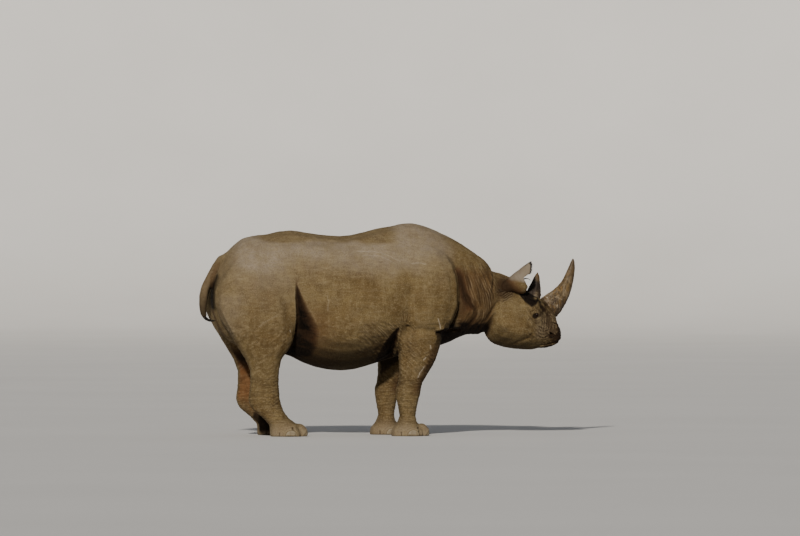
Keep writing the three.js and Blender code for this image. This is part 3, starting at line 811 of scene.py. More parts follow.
# Along the ear: half depth, half width and the half angle that the leaf is wrapped through.
EAR_BOWLS = {
    0.0: (0.043, 0.042, 165), 0.2: (0.057, 0.046, 165), 0.35: (0.083, 0.056, 158), 0.45: (0.088, 0.062, 152),
    0.55: (0.081, 0.064, 142), 0.64: (0.075, 0.063, 132), 0.72: (0.066, 0.060, 122), 0.8: (0.056, 0.054, 104),
    0.9: (0.050, 0.042, 88), 1.0: (0.018, 0.018, 80),
}
# How deep the leaf may be, from the nick above its lower lobe up.
EAR_NICK = {0.0: 0.3, 0.575: 0.3, 0.605: 0.11, 0.64: 0.057, 0.70: 0.054, 0.80: 0.057, 1.04: 0.100}
# Each ear: its root, the way and length from there to its tip, and the way it opens.
EARS = {
    "ear_right": ((0.715, -0.110, 1.144), (0.219, -0.095, 0.180), (0.62, 0.05, -0.75)),
    "ear_left": ((0.725, 0.110, 1.130), (0.049, 0.308, 0.065), (0.9, -0.1, -0.3)),
}


def ear_frame(base, axis, opens):
    up = np.array(axis) / np.linalg.norm(axis)
    across = np.cross(up, opens)
    across /= np.linalg.norm(across)
    return np.array(base), np.cross(across, up), across, up


def ear_points(ear, along, across, inset):
    """Points on an ear's leaf: along it from 0 to 1, across it from edge (-1) to edge (1)."""
    base, front, side, _ = ear_frame(*EARS[ear])
    deep, wide, wrap = spline(list(EAR_BOWLS), list(EAR_BOWLS.values()), np.maximum(along, 0)).T
    limit = np.interp(along, list(EAR_NICK), list(EAR_NICK.values()))
    wrap = np.minimum(np.radians(wrap), np.arccos(np.clip(1 - limit / deep, -1, 1)))
    angle = wrap * across
    x = deep - (deep - inset) * np.cos(angle)
    y = (wide - inset) * np.sin(angle)
    curl = 0.004 * np.sin(9 * along + 2) * across
    return base + x[:, None] * front + (y + curl)[:, None] * side + along[:, None] * np.array(EARS[ear][1])


EAR_ROWS, EAR_SIDES = 70, 34


def ear_quads(rows, columns):
    """The faces of an ear's closed shell, with a cap across its root and its tip."""
    caps = []
    for row, way in ((0, -1), (rows - 1, 1)):
        first = row * columns
        for c in range(EAR_SIDES - 1):
            cap = [first + c, first + c + 1, first + columns - c - 1, first + (columns - c) % columns]
            caps.append(cap[::way])
    return np.concatenate([ring_quads(rows, columns), caps])


def ear_mesh(ear):
    """A closed shell: out round the back of the leaf, over its rim and back inside."""
    along = np.concatenate([np.linspace(EAR_ROOT, 0.5, 26), np.linspace(0.5, 1, EAR_ROWS - 25)[1:]])
    across = np.concatenate([np.linspace(-1, 1, EAR_SIDES), np.linspace(1, -1, EAR_SIDES)[1:-1]])
    a, t = (g.ravel() for g in np.meshgrid(along, across, indexing="ij"))
    i = np.tile(np.arange(len(across)) >= EAR_SIDES, len(along)).astype(float)
    thick = EAR_THICK * (1 - 0.5 * np.clip(a, 0, 1)) * np.sqrt(1 - np.clip(np.abs(t), 0, 1) ** 9)
    thick *= 1 - 0.8 * smooth(0.93, 1.0, a)
    points = ear_points(ear, a, t, thick * i)
    quads = ear_quads(len(along), len(across))
    facing = (normals_of(points, quads) * (points - points.mean(axis=0))).sum(axis=1)
    if np.median(facing[i == 0]) < 0:
        quads = quads[:, ::-1]
    clay = Clay(placed(points), quads)
    relief = 0.0016 * noise(clay.at, 0.03, 31) + 0.0008 * noise(clay.at, (0.012, 0.012, 0.02), 32)
    relief -= 0.0022 * valleys(np.stack([a * 10, t * 5, i * 9], axis=1), 1, 33) * (1 - smooth(0.5, 0.8, a))
    clay.push(relief * (thick > 0.004))
    tint_ear(clay, ear, points, a, np.abs(t), i)
    return clay


def tint_ear(clay, ear, points, a, t, inner):
    """Pale skin on the blade, dark hair on the rim of the tip, dark red-brown at the root, and painted shade
    inside, at the root and low on the far ear.
    """
    base, front, _, _ = ear_frame(*EARS[ear])
    fore = (points - base) @ front
    blade = a - 0.30 - 3.6 * np.clip(fore - 0.013, 0, 0.08) + 0.03 * noise(clay.at, 0.03, 34)
    clay.stain("ear", smooth(-0.02, 0.09, blade) * (1 - inner) * (1 - 0.15 * smooth(0.55, 0.85, a)))
    if ear == "ear_left":
        # Painted shade on the lower part of the far ear.
        clay.stain("dark", 0.75 * (1 - smooth(0.50, 0.72, a)))
    rim = smooth(0.90, 0.97, t) * smooth(0.84, 0.90, a) + smooth(0.965, 0.99, a)
    rim = rim + smooth(0.82, 0.90, a) * (1 - smooth(0.05, 0.22, t))
    # Painted shade inside the ear and at its root, and dark hair on the rim of the tip.
    clay.stain("dark", 0.85 * inner + 0.78 * (1 - smooth(0.20, 0.42, a)) + 0.9 * rim)
    clay.stain("warm", 0.85 * (1 - smooth(0.30, 0.55, a)))
    # Painted shade in the folds at the root.
    clay.stain("crease", 0.3 * (1 - smooth(0.3, 0.6, a)))


# ---------------------------------------------------------------- the one skin
def tint_relief(clay):
    """Painted shade in the creases, and paler ridges, as worn hide and as painted highlight."""
    clay.stain("crease", 0.55 * smooth(0.00004, 0.0005, clay.hollowness()))
    clay.stain("ridge", smooth(0.00004, 0.0004, -clay.hollowness(1)))


def tint_dust(clay, head, ragged):
    """Grey dust along the back, on the rump, the snout and the feet."""
    x, y, z = clay.x, clay.y, clay.z
    high = within(x + ragged, -1.20, 0.22, 0.22) * smooth(1.16, 1.42, z + ragged)
    spine = within(x, -1.05, -0.14, 0.12) * smooth(1.452, 1.490, z + 0.3 * ragged)
    croup = bell(np.hypot((x + 1.13) / 0.29, (z + ragged - 1.27) / 0.23), 1.0)
    feet = 1 - smooth(0.02, 0.16, z)
    rump = bell(x + 1.36, 0.10) * within(z, 0.80, 1.04, 0.08) * smooth(0.06, 0.18, y)
    snout = head * within(x, 1.03, 1.17, 0.05) * within(z, 0.76, 0.92, 0.04)
    back = (0.90 * high + 0.50 * croup) * (1 - 0.85 * spine)
    clay.stain("dust", back + 0.55 * feet + 0.35 * snout + 0.35 * rump)


def tint_body(clay, head):
    """Painted shade underneath, on the chest and on the forearm's front, and warm where skin folds against
    skin.
    """
    x, y, z = clay.x, clay.y, clay.z
    foreleg = leg_share(clay.at, False)
    # Painted shade on the downward faces and on the chest.
    under = smooth(0.10, 0.85, -clay.facing[:, 2]) * smooth(0.35, 0.55, z) * smooth(-1.05, -0.85, x)
    chest = within(x, 0.24, 0.62, 0.06) * (1 - smooth(0.81, 0.90, z)) * (y < 0.33) * smooth(0.55, 0.65, z)
    clay.stain("dark", 0.80 * under * (1 - head) + 0.95 * chest * (1 - foreleg) * (1 - head))
    # The forearm's front: red-brown skin, and painted shade where it turns from the key light.
    front = 0.042 + 0.42 * (z - 0.376)
    forearm = foreleg * within(z, 0.36, 0.70, 0.06) * smooth(-0.02, 0.05, own_x(clay.at) - front)
    clay.stain("warm", 0.55 * forearm)
    clay.stain("dark", 0.30 * forearm)
    neck = within(x, 0.415, 0.53, 0.03) * within(z, 0.84, 1.20, 0.06)
    throat = within(x, 0.44, 0.64, 0.05) * within(z, 0.78, 1.22, 0.08)
    groin = within(own_x(clay.at, True), -1.0, -0.6, 0.1) * within(z, 0.45, 0.85, 0.06)
    groin = groin * (1 - smooth(0.2, 0.3, y))
    behind = within(x, -1.6, -1.36, 0.03) * within(z, 0.75, 1.3, 0.05) * (1 - smooth(0.04, 0.08, y))
    flank = bell(np.hypot((x + 0.70) / 0.11, (z - 0.78) / 0.20), 1.0) * smooth(0.2, 0.3, y)
    clay.stain("warm", 0.10 * neck + 0.45 * throat + 0.5 * groin + 0.5 * behind + 0.5 * flank)


def tint_inner_legs(clay):
    """The legs' inner sides: painted shade above and the belly's painted shadow on the forelegs, and on the
    hind legs rust red below and the near leg's painted shadow at the heel.
    """
    x, z = clay.x, clay.z
    fore, hind = leg_share(clay.at, False), leg_share(clay.at, True)
    facing_in = smooth(0.2, 0.7, -clay.facing[:, 1] * np.sign(clay.at[:, 1]))
    inner = (hind + 0.3 * fore) * facing_in
    clay.stain("warm", 0.3 * inner + 0.8 * inner * hind * smooth(0.42, 0.55, z))
    clay.stain("rust", 0.66 * inner * hind * within(z, 0.33, 0.50, 0.11))
    # Painted shade high on the hind legs' inner sides, under the body.
    clay.stain("dark", 0.85 * inner * hind * smooth(0.48, 0.60, z))
    # The belly's painted shadow on the forelegs' inner sides, with a slanting edge.
    clay.stain("dark", 0.85 * facing_in * fore * smooth(-0.02, 0.04, z - 0.44 - 0.76 * (x + 0.15)))
    # The near leg's painted shadow on the inner heel.
    heel = within(x, -1.10, -0.97, 0.02) * within(z, 0.05, 0.17, 0.03)
    clay.stain("dark", 0.9 * smooth(0.1, 0.4, inner) * heel)


# The lower edge of the ear's painted shadow on the crown behind the rear horn, in side view.
CROWN_EDGE = [(0.885, 1.066), (0.92, 1.014), (0.965, 0.984), (1.01, 0.999), (1.05, 1.041)]


def tint_head(clay, head, ragged):
    """Dark mottles and painted shade on the muzzle, red-brown ear roots, and painted shade on the nose, lips,
    jaw, ear roots and, as the ear's shadow, the crown.
    """
    at, x, z = clay.at, clay.x, clay.z
    # Darker to the front and foot of the muzzle, blotched: mottled hide and painted shade.
    muzzle = smooth(1.14, 1.235, x + 0.45 * (0.80 - z) + 0.15 * ragged)
    muzzle = muzzle * (0.65 + 0.9 * noise(at, (0.024, 0.02, 0.013), 64))
    patch = within(x, 1.045, 1.125, 0.03) * within(z, 0.93, 1.03, 0.03) * (0.65 + noise(at, 0.022, 63))
    edge = np.interp(x, *np.transpose(CROWN_EDGE)) + 0.2 * ragged
    # The ear's painted shadow on the crown, with a lit gap in it.
    lit = bell(np.hypot((x - 1.022) / 0.020, (z - 1.048) / 0.009), 1)
    crown = within(x, 0.888, 1.05, 0.015) * smooth(-0.004, 0.014, z - edge) * (1 - lit)
    # Painted shade under the jaw.
    jaw = smooth(0.1, 0.8, -clay.facing[:, 2]) * (0.62 + 0.3 * smooth(1.08, 1.15, x))
    # Dark red-brown skin at the ear roots, with painted shade in their folds.
    ear_root = bell(np.hypot(x - 0.740, z - 1.138) + ragged, 0.090)
    # Blotched painted shade low on the lips.
    lip = smooth(1.09, 1.18, x) * (1 - smooth(0.765, 0.80, z)) * (0.5 + noise(at, 0.02, 65))
    # Painted shade on the nose's front, which faces away from the key light.
    nose = smooth(1.188, 1.210, x + 0.2 * ragged) * (1 - smooth(0.86, 0.89, z))
    # Mottled hide, with painted shade on the muzzle's front and the lips.
    mottled = 0.25 * muzzle + 0.85 * patch + 0.5 * lip
    clay.stain("dark", head * (mottled + nose + crown + jaw + 0.72 * ear_root))
    clay.stain("warm", 0.7 * head * ear_root)


def tint_tail(clay):
    """The tail, darker to its end, and painted shadow in the cleft beside its root."""
    tail = tail_share(clay.at)
    # Painted shadow in the cleft beside the tail's root.
    cleft = within(clay.x + 0.45 * (clay.z - 1.15), -1.52, -1.385, 0.02) * within(clay.z, 0.98, 1.30, 0.04)
    cleft = cleft * (1 - smooth(0.06, 0.17, clay.y)) * (1 - tail)
    clay.stain("dark", 0.95 * cleft + tail * (0.26 + 0.5 * (1 - smooth(0.92, 1.15, clay.z))))


def tint_skin(clay):
    head = head_share(clay.at)
    ragged = 0.05 * noise(clay.at, 0.22, 61) + 0.03 * noise(clay.at, 0.09, 62)
    tint_relief(clay)
    tint_dust(clay, head, ragged)
    tint_body(clay, head)
    tint_inner_legs(clay)
    tint_head(clay, head, ragged)
    tint_tail(clay)


# Each scratch's strength and its line in side view.
SCRATCHES = [
    (0.60, [(0.223, 0.904), (0.240, 0.86), (0.251, 0.813)]),
    (0.45, [(0.173, 0.700), (0.176, 0.683), (0.181, 0.665)]),
    (0.45, [(0.138, 0.610), (0.127, 0.594), (0.117, 0.578)]),
    (0.55, [(0.138, 0.546), (0.104, 0.497), (0.074, 0.441)]),
    (0.50, [(-0.895, 0.817), (-0.890, 0.806), (-0.884, 0.794)]),
    (0.16, [(-1.155, 0.826), (-1.07, 0.885), (-0.983, 0.932)]),
    (0.22, [(0.02, 1.312), (0.08, 1.316), (0.150, 1.309)]),
    (0.20, [(-0.42, 1.405), (-0.22, 1.400), (-0.03, 1.318)]),
    (0.16, [(-0.36, 1.378), (-0.20, 1.366), (-0.08, 1.305)]),
    (0.14, [(-0.62, 1.08), (-0.615, 1.03), (-0.62, 0.95)]),
]


def scratches(clay):
    """Thin pale lines where the hide has been scored."""
    flat = clay.at[:, [0, 2]]
    for i, (strength, points) in enumerate(SCRATCHES):
        line = curve_through(points, 8)
        near = (np.abs(flat - line.mean(axis=0)) < np.ptp(line, axis=0) / 2 + 0.03).all(axis=1)
        index = np.flatnonzero(near & (np.abs(clay.facing[:, 1]) > 0.25))
        off, share = line_distance(flat[index], line)
        off = off + 0.004 * noise(clay.at[index], 0.02, 70 + i)
        mark = clay.spread(index, bell(off, 0.0034) * smooth(0, 0.15, share) * (1 - smooth(0.85, 1, share)))
        clay.push(-0.001 * mark)
        clay.stain("scratch", strength * mark)


def refine_folds(clay):
    """A finer mesh on the head, the neck and the low legs, and where skin folds at armpit and flank."""
    x, z = clay.x, clay.z
    low_legs = (leg_share(clay.at, True) + leg_share(clay.at, False) > 0.3) & (z < 0.45)
    side = np.abs(clay.facing[:, 1]) > 0.25
    armpit = side & (np.abs(x - 0.12) < 0.36) & (np.abs(z - 0.80) < 0.26)
    flank = side & (np.abs(x + 0.85) < 0.07) & (np.abs(z - 0.92) < 0.33)
    clay.refine((head_share(clay.at) > 0.05) | low_legs | armpit | flank | (np.abs(x - 0.55) < 0.21))
    clay.relax(0.5, 2, keep_size=False)


def make_skin():
    """The whole skin: grown over the solids, evened out, then shaped from large forms to small ones."""
    clay = Clay(*joined_surface([*FLESH, *NAILS, "eye_left", "eye_right"], VOXEL))
    even_out(clay)
    trunk_masses(clay)
    mounds(clay, FORELEG_MASSES, own_x(clay.at))
    mounds(clay, HINDLEG_MASSES, own_x(clay.at, True))
    clay.update()
    refine_folds(clay)
    # Painted shade in the pockets: the thigh's shadow on the flank, the shade between foreleg and belly, and
    # before the shoulder.
    pocket(clay, FLANK_POCKET, 1, clay.x, 0.88)
    pocket(clay, ELBOW_POCKET, -1, own_x(clay.at), 0.95)
    pocket(clay, NECK_POCKET, 1, clay.x, 0.45, 0.15)
    head_masses(clay)
    clay.update()
    trunk_creases(clay)
    leg_creases(clay)
    clay.update()
    clay.refine((clay.away(EYE_AT) < 0.075) | (clay.x > 1.10) & (head_share(clay.at) > 0.5))
    clay.relax(0.5, 2, keep_size=False)
    clay.refine(clay.away(EYE_AT) < 0.038)
    for shape in (eyelids, head_creases, nostrils, head_wrinkles, body_wrinkles, scratches, nail_beds):
        shape(clay)
    clay.points[:, 2] = np.maximum(clay.points[:, 2], 0)
    clay.update()
    tint_skin(clay)
    return clay


def joined(parts):
    """Several clays as one mesh, with the same tints."""
    names = sorted({n for c in parts for n in c.tint})
    starts = np.cumsum([0] + [len(c.points) for c in parts])
    quads = np.concatenate([c.quads + start for c, start in zip(parts, starts)])
    tints = {n: np.concatenate([c.tint.get(n, np.zeros(len(c.points))) for c in parts]) for n in names}
    return np.concatenate([c.points for c in parts]), quads, tints


# ---------------------------------------------------------------- horns, nails and eyes
def skin_tree(clay):
    tree = KDTree(len(clay.points))
    for i, point in enumerate(clay.points):
        tree.insert(point, i)
    tree.balance()
    return tree


def rooted(clay, skin, reach, depth):
    """Pushes what lies close over the skin down into it, so that no gap shows."""
    for i, point in enumerate(clay.points):
        _, index, away = skin.find(point)
        if away < reach:
            clay.points[i] -= skin.normals[index] * depth * (1 - away / reach)


def along_axis(points):
    """For a horn: the share from root to tip and the angle round its curved axis."""
    away = points - points.mean(axis=0)
    axis = np.linalg.svd(away, full_matrices=False)[2][0]
    axis *= np.sign(axis[2])
    s = away @ axis
    share = (s - s.min()) / (s.max() - s.min())
    bins = np.clip((share * 12).astype(int), 0, 11)
    centres = np.array([points[bins == b].mean(axis=0) for b in range(12)])
    shares = np.array([share[bins == b].mean() for b in range(12)])
    out = points - spline(shares, centres, np.clip(share, shares[0], shares[-1]))
    across = np.cross(axis, (0.0, 1.0, 0.0))
    across /= np.linalg.norm(across)
    return share, np.arctan2(out @ np.cross(axis, across), out @ across)


# A lit wedge at the rear horn's foot, left out of the ear's painted shadow: x and z of its middle and how far
# it reaches.
REAR_HORN_LIT = (1.056, 1.078, 0.022, 0.020)


def tint_horn(clay, name, share):
    """The front horn darkens to its tip; the rear one has the ear's painted shadow below, with a lit wedge at
    its foot; both have painted shade on their forward faces.
    """
    x, z, long, tall = REAR_HORN_LIT
    lit = bell(np.hypot((clay.x - x) / long, (clay.z - z) / tall), 1)
    clay.stain("tip", smooth(0.55, 1.0, share) if name == "horn_front" else 0.75 * smooth(0.5, 0.6, share))
    # The ear's painted shadow on the rear horn.
    clay.stain("rear", (name == "horn_rear") * (1 - smooth(0.58, 0.74, share)) * (1 - 0.9 * lit))
    # Painted shade on the faces that look forwards, away from the key light.
    clay.stain("front", smooth(0.2, 0.9, clay.facing[:, 0]))


def make_horn(name, skin):
    clay = Clay(*joined_surface([name], 0.004))
    clay.relax(0.7, 9)
    clay.refine(np.ones(len(clay.points), bool))
    clay.relax(0.5, 2, keep_size=False)
    share, angle = along_axis(clay.points)
    ring = np.stack([np.cos(angle), np.sin(angle), share], axis=1)
    fibre = valleys(ring, (0.13, 0.13, 0.35), 41) + 0.6 * valleys(ring, (0.06, 0.06, 0.2), 42)
    base = 1 - smooth(0.10, 0.42, share)
    frayed = valleys(clay.at, (0.014, 0.014, 0.020), 43) + 0.6 * valleys(clay.at, (0.006, 0.006, 0.010), 44)
    frayed = frayed * base
    worn = 1 - 0.75 * smooth(0.45, 0.85, share)
    clay.push(-0.0013 * fibre * worn - 0.0026 * frayed + 0.0006 * noise(ring, (9, 9, 0.035), 45))
    clay.push(0.004 * base * noise(clay.at, 0.03, 46))
    clay.stain("groove", 0.5 * fibre + 0.8 * frayed)
    clay.stain("base", base)
    tint_horn(clay, name, share)
    rooted(clay, skin, 0.016, 0.018)
    return dressed(mesh_object(name + "_fibre", clay.points, clay.quads, clay.tint), HORN, "horn", name)


def make_nail(name):
    clay = Clay(*joined_surface([name], 0.0028))
    clay.relax(0.75, 12)
    low, high = box_of(name)
    up = (clay.points[:, 2] - low[2]) / (high[2] - low[2])
    clay.push(0.0010 * noise(clay.points, (0.5, 0.5, 0.006), 51) * smooth(0.1, 0.3, up))
    clay.push(-0.0012 * valleys(clay.points, (0.012, 0.012, 0.2), 52) * smooth(0.05, 0.2, up))
    worn = 0.003 * noise(clay.points, (0.02, 0.02, 1.0), 53) * (1 - smooth(0.0, 0.35, up))
    clay.push(worn - 0.002 * (1 - smooth(0, 0.2, up)))
    arch, out = nail_arch(clay.points, name)
    clay.points -= 0.014 * smooth(0.90, 1.04, arch)[:, None] * out
    clay.points[:, 2] = np.maximum(clay.points[:, 2], low[2])
    clay.stain("rim", 1 - smooth(0.03, 0.25, up))
    # A painted highlight in a pale band along the nail's arch.
    clay.stain("lunule", bell(arch - 0.86, 0.10))
    return dressed(mesh_object(name + "_plate", clay.points, clay.quads, clay.tint), NAIL, "nail", name)


EYE_ROWS, EYE_SIDES = 48, 64
CORNEA = 0.045  # how far the ball swells at its front, as a share of its radius


def ball():
    """A fine sphere of radius 1 whose first axis points out of the head, as points and quads."""
    polar = np.linspace(0, np.pi, EYE_ROWS + 1)[1:-1]
    turn = np.linspace(0, 2 * np.pi, EYE_SIDES, endpoint=False)
    p, t = (g.ravel() for g in np.meshgrid(polar, turn, indexing="ij"))
    swell = 1 + CORNEA * bell(p, 0.42)
    local = np.stack([np.cos(p) * swell, np.sin(p) * np.cos(t), np.sin(p) * np.sin(t)], axis=1)
    local = np.concatenate([local, [[1 + CORNEA, 0, 0], [-1, 0, 0]]])
    c = np.arange(EYE_SIDES)
    n = (c + 1) % EYE_SIDES
    last = (EYE_ROWS - 2) * EYE_SIDES
    top = np.stack([np.full(EYE_SIDES, len(local) - 2), c, n, n], axis=1)
    bottom = np.stack([np.full(EYE_SIDES, len(local) - 1), last + n, last + c, last + c], axis=1)
    sides = ring_quads(EYE_ROWS - 1, EYE_SIDES)[:, [0, 3, 2, 1]]
    return local, np.concatenate([sides, top, bottom])


EYES = {-1: "eye_right", 1: "eye_left"}


def make_eye(side):
    name = EYES[side]
    centre, *basis = eye_frame(side)
    local, quads = ball()
    if side > 0:
        quads = np.where(quads[:, 2:3] == quads[:, 3:], quads[:, [2, 1, 0, 0]], quads[:, ::-1])
    off = np.hypot(local[:, 1], local[:, 2])
    front = local[:, 0] > 0
    tints = {"pupil": front * (1 - smooth(0.17, 0.22, off)), "iris": front * (1 - smooth(0.50, 0.60, off))}
    points = centre + local @ np.array(basis) * EYE_RADIUS
    return dressed(mesh_object(name + "_ball", points, quads, tints), EYE, "eye", name)


# ---------------------------------------------------------------- hair
TUFT_PATCH = 0.003  # how much of the map OFBake a hair covers
HAIR_SIDES = 3


def unit(vectors):
    return vectors / np.maximum(np.linalg.norm(vectors, axis=-1, keepdims=True), 1e-9)


def hair_faces(n):
    """The faces of one hair of n points: rings of quads, a pointed tip and a closed root."""
    last = HAIR_SIDES * (n - 2)
    sides = ring_quads(n - 1, HAIR_SIDES).tolist()
    tip = [(last + k, last + (k + 1) % HAIR_SIDES, last + HAIR_SIDES) for k in range(HAIR_SIDES)]
    return [*sides, *tip, (2, 1, 0)]


def hair_patch(n):
    """Where the corners of those faces lie on a hair's own square of the map, from 0 to 1."""
    def uv(i, k):
        return k / HAIR_SIDES, i / (n - 1)

    places = []
    for i in range(n - 2):
        for k in range(HAIR_SIDES):
            places += [uv(i, k), uv(i, k + 1), uv(i + 1, k + 1), uv(i + 1, k)]
    for k in range(HAIR_SIDES):
        places += [uv(n - 2, k), uv(n - 2, k + 1), uv(n - 1, k + 0.5)]
    return np.array([*places, uv(0, 0), uv(0, 1), uv(0, 2)])


def make_hair(name, strands, nodes=()):
    """Solid hairs as one mesh. A strand is its points, its radius at the root and its place on the skin's
    unwrap, where its patch of the map goes."""
    points, faces, patches = [], [], []
    turn = 2 * np.pi * np.arange(HAIR_SIDES)[:, None] / HAIR_SIDES
    for path, radius, place in strands:
        n = len(path)
        along = unit(np.gradient(path, axis=0))
        side = unit(np.cross(along, (0.3, 0.2, 0.93)))
        round_it = np.cos(turn) * side[:, None] + np.sin(turn) * np.cross(along, side)[:, None]
        thin = radius * (1 - 0.85 * np.arange(n) / (n - 1))
        rings = path[:, None] + thin[:, None, None] * round_it
        faces += [[len(points) + corner for corner in face] for face in hair_faces(n)]
        points += [*rings[:-1].reshape(-1, 3).tolist(), tuple(path[-1])]
        patches.append(place + TUFT_PATCH * hair_patch(n))
    obj = smooth_mesh(name, points, faces)
    layer = obj.data.uv_layers.new(name="OFBake")
    layer.uv.foreach_set("vector", np.concatenate(patches).astype(np.float32).ravel())
    return dressed(obj, HAIR, "hair", *nodes)


def bristle(root, way, length, droop, steps=5):
    """The path of one hair: out along its way, bending towards the droop."""
    t = np.linspace(0, 1, steps)[:, None]
    return root + length * (way * t + droop * t**2)


# A thin strip torn from the right ear's edge, which curls forward from the nick.
TORN_STRIP = [
    (0.878, -0.168, 1.158), (0.889, -0.172, 1.186), (0.912, -0.177, 1.199), (0.938, -0.182, 1.196),
    (0.953, -0.184, 1.182),
]


def ear_bristle(ear):
    """One bristle of an ear's fringe, on its upper rim or at its tip."""
    up = ear_frame(*EARS[ear])[3]
    at_tip = RNG.random() < 0.3
    along = 1 - 0.012 * RNG.random() if at_tip else 1 - 0.20 * RNG.random() ** 1.3
    t = RNG.uniform(-1, 1) if at_tip else RNG.choice((-1.0, 1.0)) * (1 - 0.05 * RNG.random())
    inset = np.array([0.004])
    rim = ear_points(ear, np.array([along]), np.array([t]), inset)[0]
    inside = ear_points(ear, np.array([along - 0.06 * at_tip]), np.array([t * 0.8]), inset)[0]
    way = unit(0.8 * unit(rim - inside) + 0.75 * up + RNG.normal(0, 0.22, 3))
    length = (0.011 + 0.007 * smooth(0.75, 0.95, along)) * RNG.uniform(0.5, 1.2)
    path = bristle(rim - 0.003 * way, way, length, RNG.normal(0, 0.12, 3) + (0, 0, -0.08))
    return placed(path), RNG.uniform(0.0006, 0.0010), (0.02 + 0.9 * along, 0.5 + 0.45 * t)


def ear_fringe(ear, count=1500):
    """Short black bristles along the upper rim of an ear and round its tip."""
    strands = [ear_bristle(ear) for _ in range(count)]
    if ear == "ear_right":
        strands.append((placed(curve_through(TORN_STRIP, 6)), 0.0085, (0.6, 0.95)))
    return make_hair(ear + "_fringe", strands)


def make_lashes(side, count=34):
    centre, out, ahead, up = eye_frame(side)
    strands = []
    for i in range(count):
        u = (2 * (i + RNG.uniform(-0.3, 0.3)) / (count - 1) - 1) * EYE_LONG * 0.80
        v = EYE_TOP * (1 - (u / EYE_LONG) ** 2) * 1.05 - 0.002
        u -= 0.003
        lift = math.sqrt(max(1e-8, EYE_RADIUS**2 - u**2 - v**2)) + LID * 0.5
        root = centre + out * lift + ahead * u + up * v
        way = unit(0.85 * out + 0.25 * up + ahead * (u / EYE_LONG) * 0.35 + RNG.normal(0, 0.05, 3))
        path = bristle(root - way * 0.002, way, RNG.uniform(0.010, 0.015), -0.45 * up)
        strands.append((path, 0.00045, (0.5 + 0.4 * u / EYE_LONG, 0.5 + 0.2 * side)))
    return make_hair(EYES[side] + "_lashes", strands)


# The tail's hooked end in side view.
TAIL_END = [
    (-1.508, 0.985), (-1.512, 0.945), (-1.505, 0.912), (-1.480, 0.888), (-1.452, 0.880), (-1.418, 0.881),
]


def make_tail_tuft(count=520):
    """Stiff black hair that follows the hooked end of the tail."""
    line = curve_through(TAIL_END, 12)
    line = np.stack([line[:, 0], np.zeros(len(line)), line[:, 1]], axis=1)
    n = len(line)
    strands = []
    for _ in range(count):
        start = int(n * 0.62 * RNG.random() ** 1.2)
        end = min(n - 1, start + int(n * RNG.uniform(0.25, 0.45)) + 4)
        part = line[np.linspace(start, end, 8).astype(int)]
        turn = RNG.uniform(0, 2 * np.pi)
        spread = 0.016 * (1 - 0.75 * np.linspace(start, end, 8) / n) * RNG.uniform(0.35, 1.0)
        spread = spread * (1 + 0.25 * np.linspace(0, 1, 8))
        along = unit(np.gradient(part, axis=0))
        off = np.stack([along[:, 2], np.zeros(8), -along[:, 0]], axis=1) * (math.cos(turn) * spread)[:, None]
        off[:, 1] = math.sin(turn) * spread
        strands.append((placed(part + off), RNG.uniform(0.0007, 0.0011), (0.05 + 0.9 * start / n, turn / 7)))
    return make_hair("tail_hair", strands, ("tail_tuft",))


# ---------------------------------------------------------------- materials
class Finish:
    """A procedural material in the making: its nodes work in the model's own metres, and each coat of
    paint is laid over the colour so far."""

    def __init__(self, name):
        self.material = bpy.data.materials.new(name)
        self.material.use_nodes = True
        self.tree = self.material.node_tree
        self.shader = self.tree.nodes["Principled BSDF"]
        self.place = self.add("ShaderNodeTexCoord").outputs["Object"]
        self.colour = None

    def add(self, kind, inputs=None, **settings):
        node = self.tree.nodes.new(kind)
        for key, value in settings.items():
            setattr(node, key, value)
        for key, value in (inputs or {}).items():
            self.join(value, node.inputs[key])
        return node

    def join(self, value, socket):
        if isinstance(value, bpy.types.NodeSocket):
            self.tree.links.new(value, socket)
        else:
            socket.default_value = value

    def tint(self, name):
        return self.add("ShaderNodeAttribute", attribute_name=name).outputs["Fac"]

    def noise(self, scale, detail=4.0, rough=0.55, stretch=None, warp=0.0):
        inputs = {"Scale": scale, "Detail": detail, "Roughness": rough, "Distortion": warp}
        return self.add("ShaderNodeTexNoise", {"Vector": self.stretched(stretch), **inputs}).outputs["Fac"]

    def stretched(self, scale):
        if scale is None:
            return self.place
        return self.add("ShaderNodeMapping", {"Vector": self.place, "Scale": scale}).outputs["Vector"]

    def cracks(self, scale, stretch=None, wide=0.12):
        """0 along cracks between cells and 1 inside them."""
        inputs = {"Vector": self.stretched(stretch), "Scale": scale}
        cells = self.add("ShaderNodeTexVoronoi", inputs, feature="DISTANCE_TO_EDGE")
        return self.remap(cells.outputs["Distance"], 0.0, wide)

    def remap(self, value, low, high, to_low=0.0, to_high=1.0):
        inputs = {"Value": value, "From Min": low, "From Max": high, "To Min": to_low, "To Max": to_high}
        return self.add("ShaderNodeMapRange", inputs).outputs["Result"]

    def maths(self, operation, a, b):
        return self.add("ShaderNodeMath", {0: a, 1: b}, operation=operation).outputs[0]

    def times(self, a, b):
        return self.maths("MULTIPLY", a, b)

    def plus(self, a, b):
        return self.maths("ADD", a, b)

    def mix(self, share, a, b):
        node = self.add("ShaderNodeMix", data_type="RGBA", clamp_factor=True)
        for index, value in ((0, share), (6, a), (7, b)):
            self.join((*value, 1.0) if isinstance(value, tuple) else value, node.inputs[index])
        return node.outputs[2]

    def paint(self, share, colour):
        self.colour = self.mix(share, self.colour, colour)

    def bump(self, height, distance, strength=1.0, under=None):
        inputs = {"Height": height, "Distance": distance, "Strength": strength}
        if under is not None:
            inputs["Normal"] = under
        return self.add("ShaderNodeBump", inputs).outputs["Normal"]

    def finish(self, roughness, normal, **sockets):
        self.join(self.colour, self.shader.inputs["Base Color"])
        self.join(roughness, self.shader.inputs["Roughness"])
        self.join(normal, self.shader.inputs["Normal"])
        for name, value in sockets.items():
            self.shader.inputs[name.replace("_", " ")].default_value = value
        return self.material


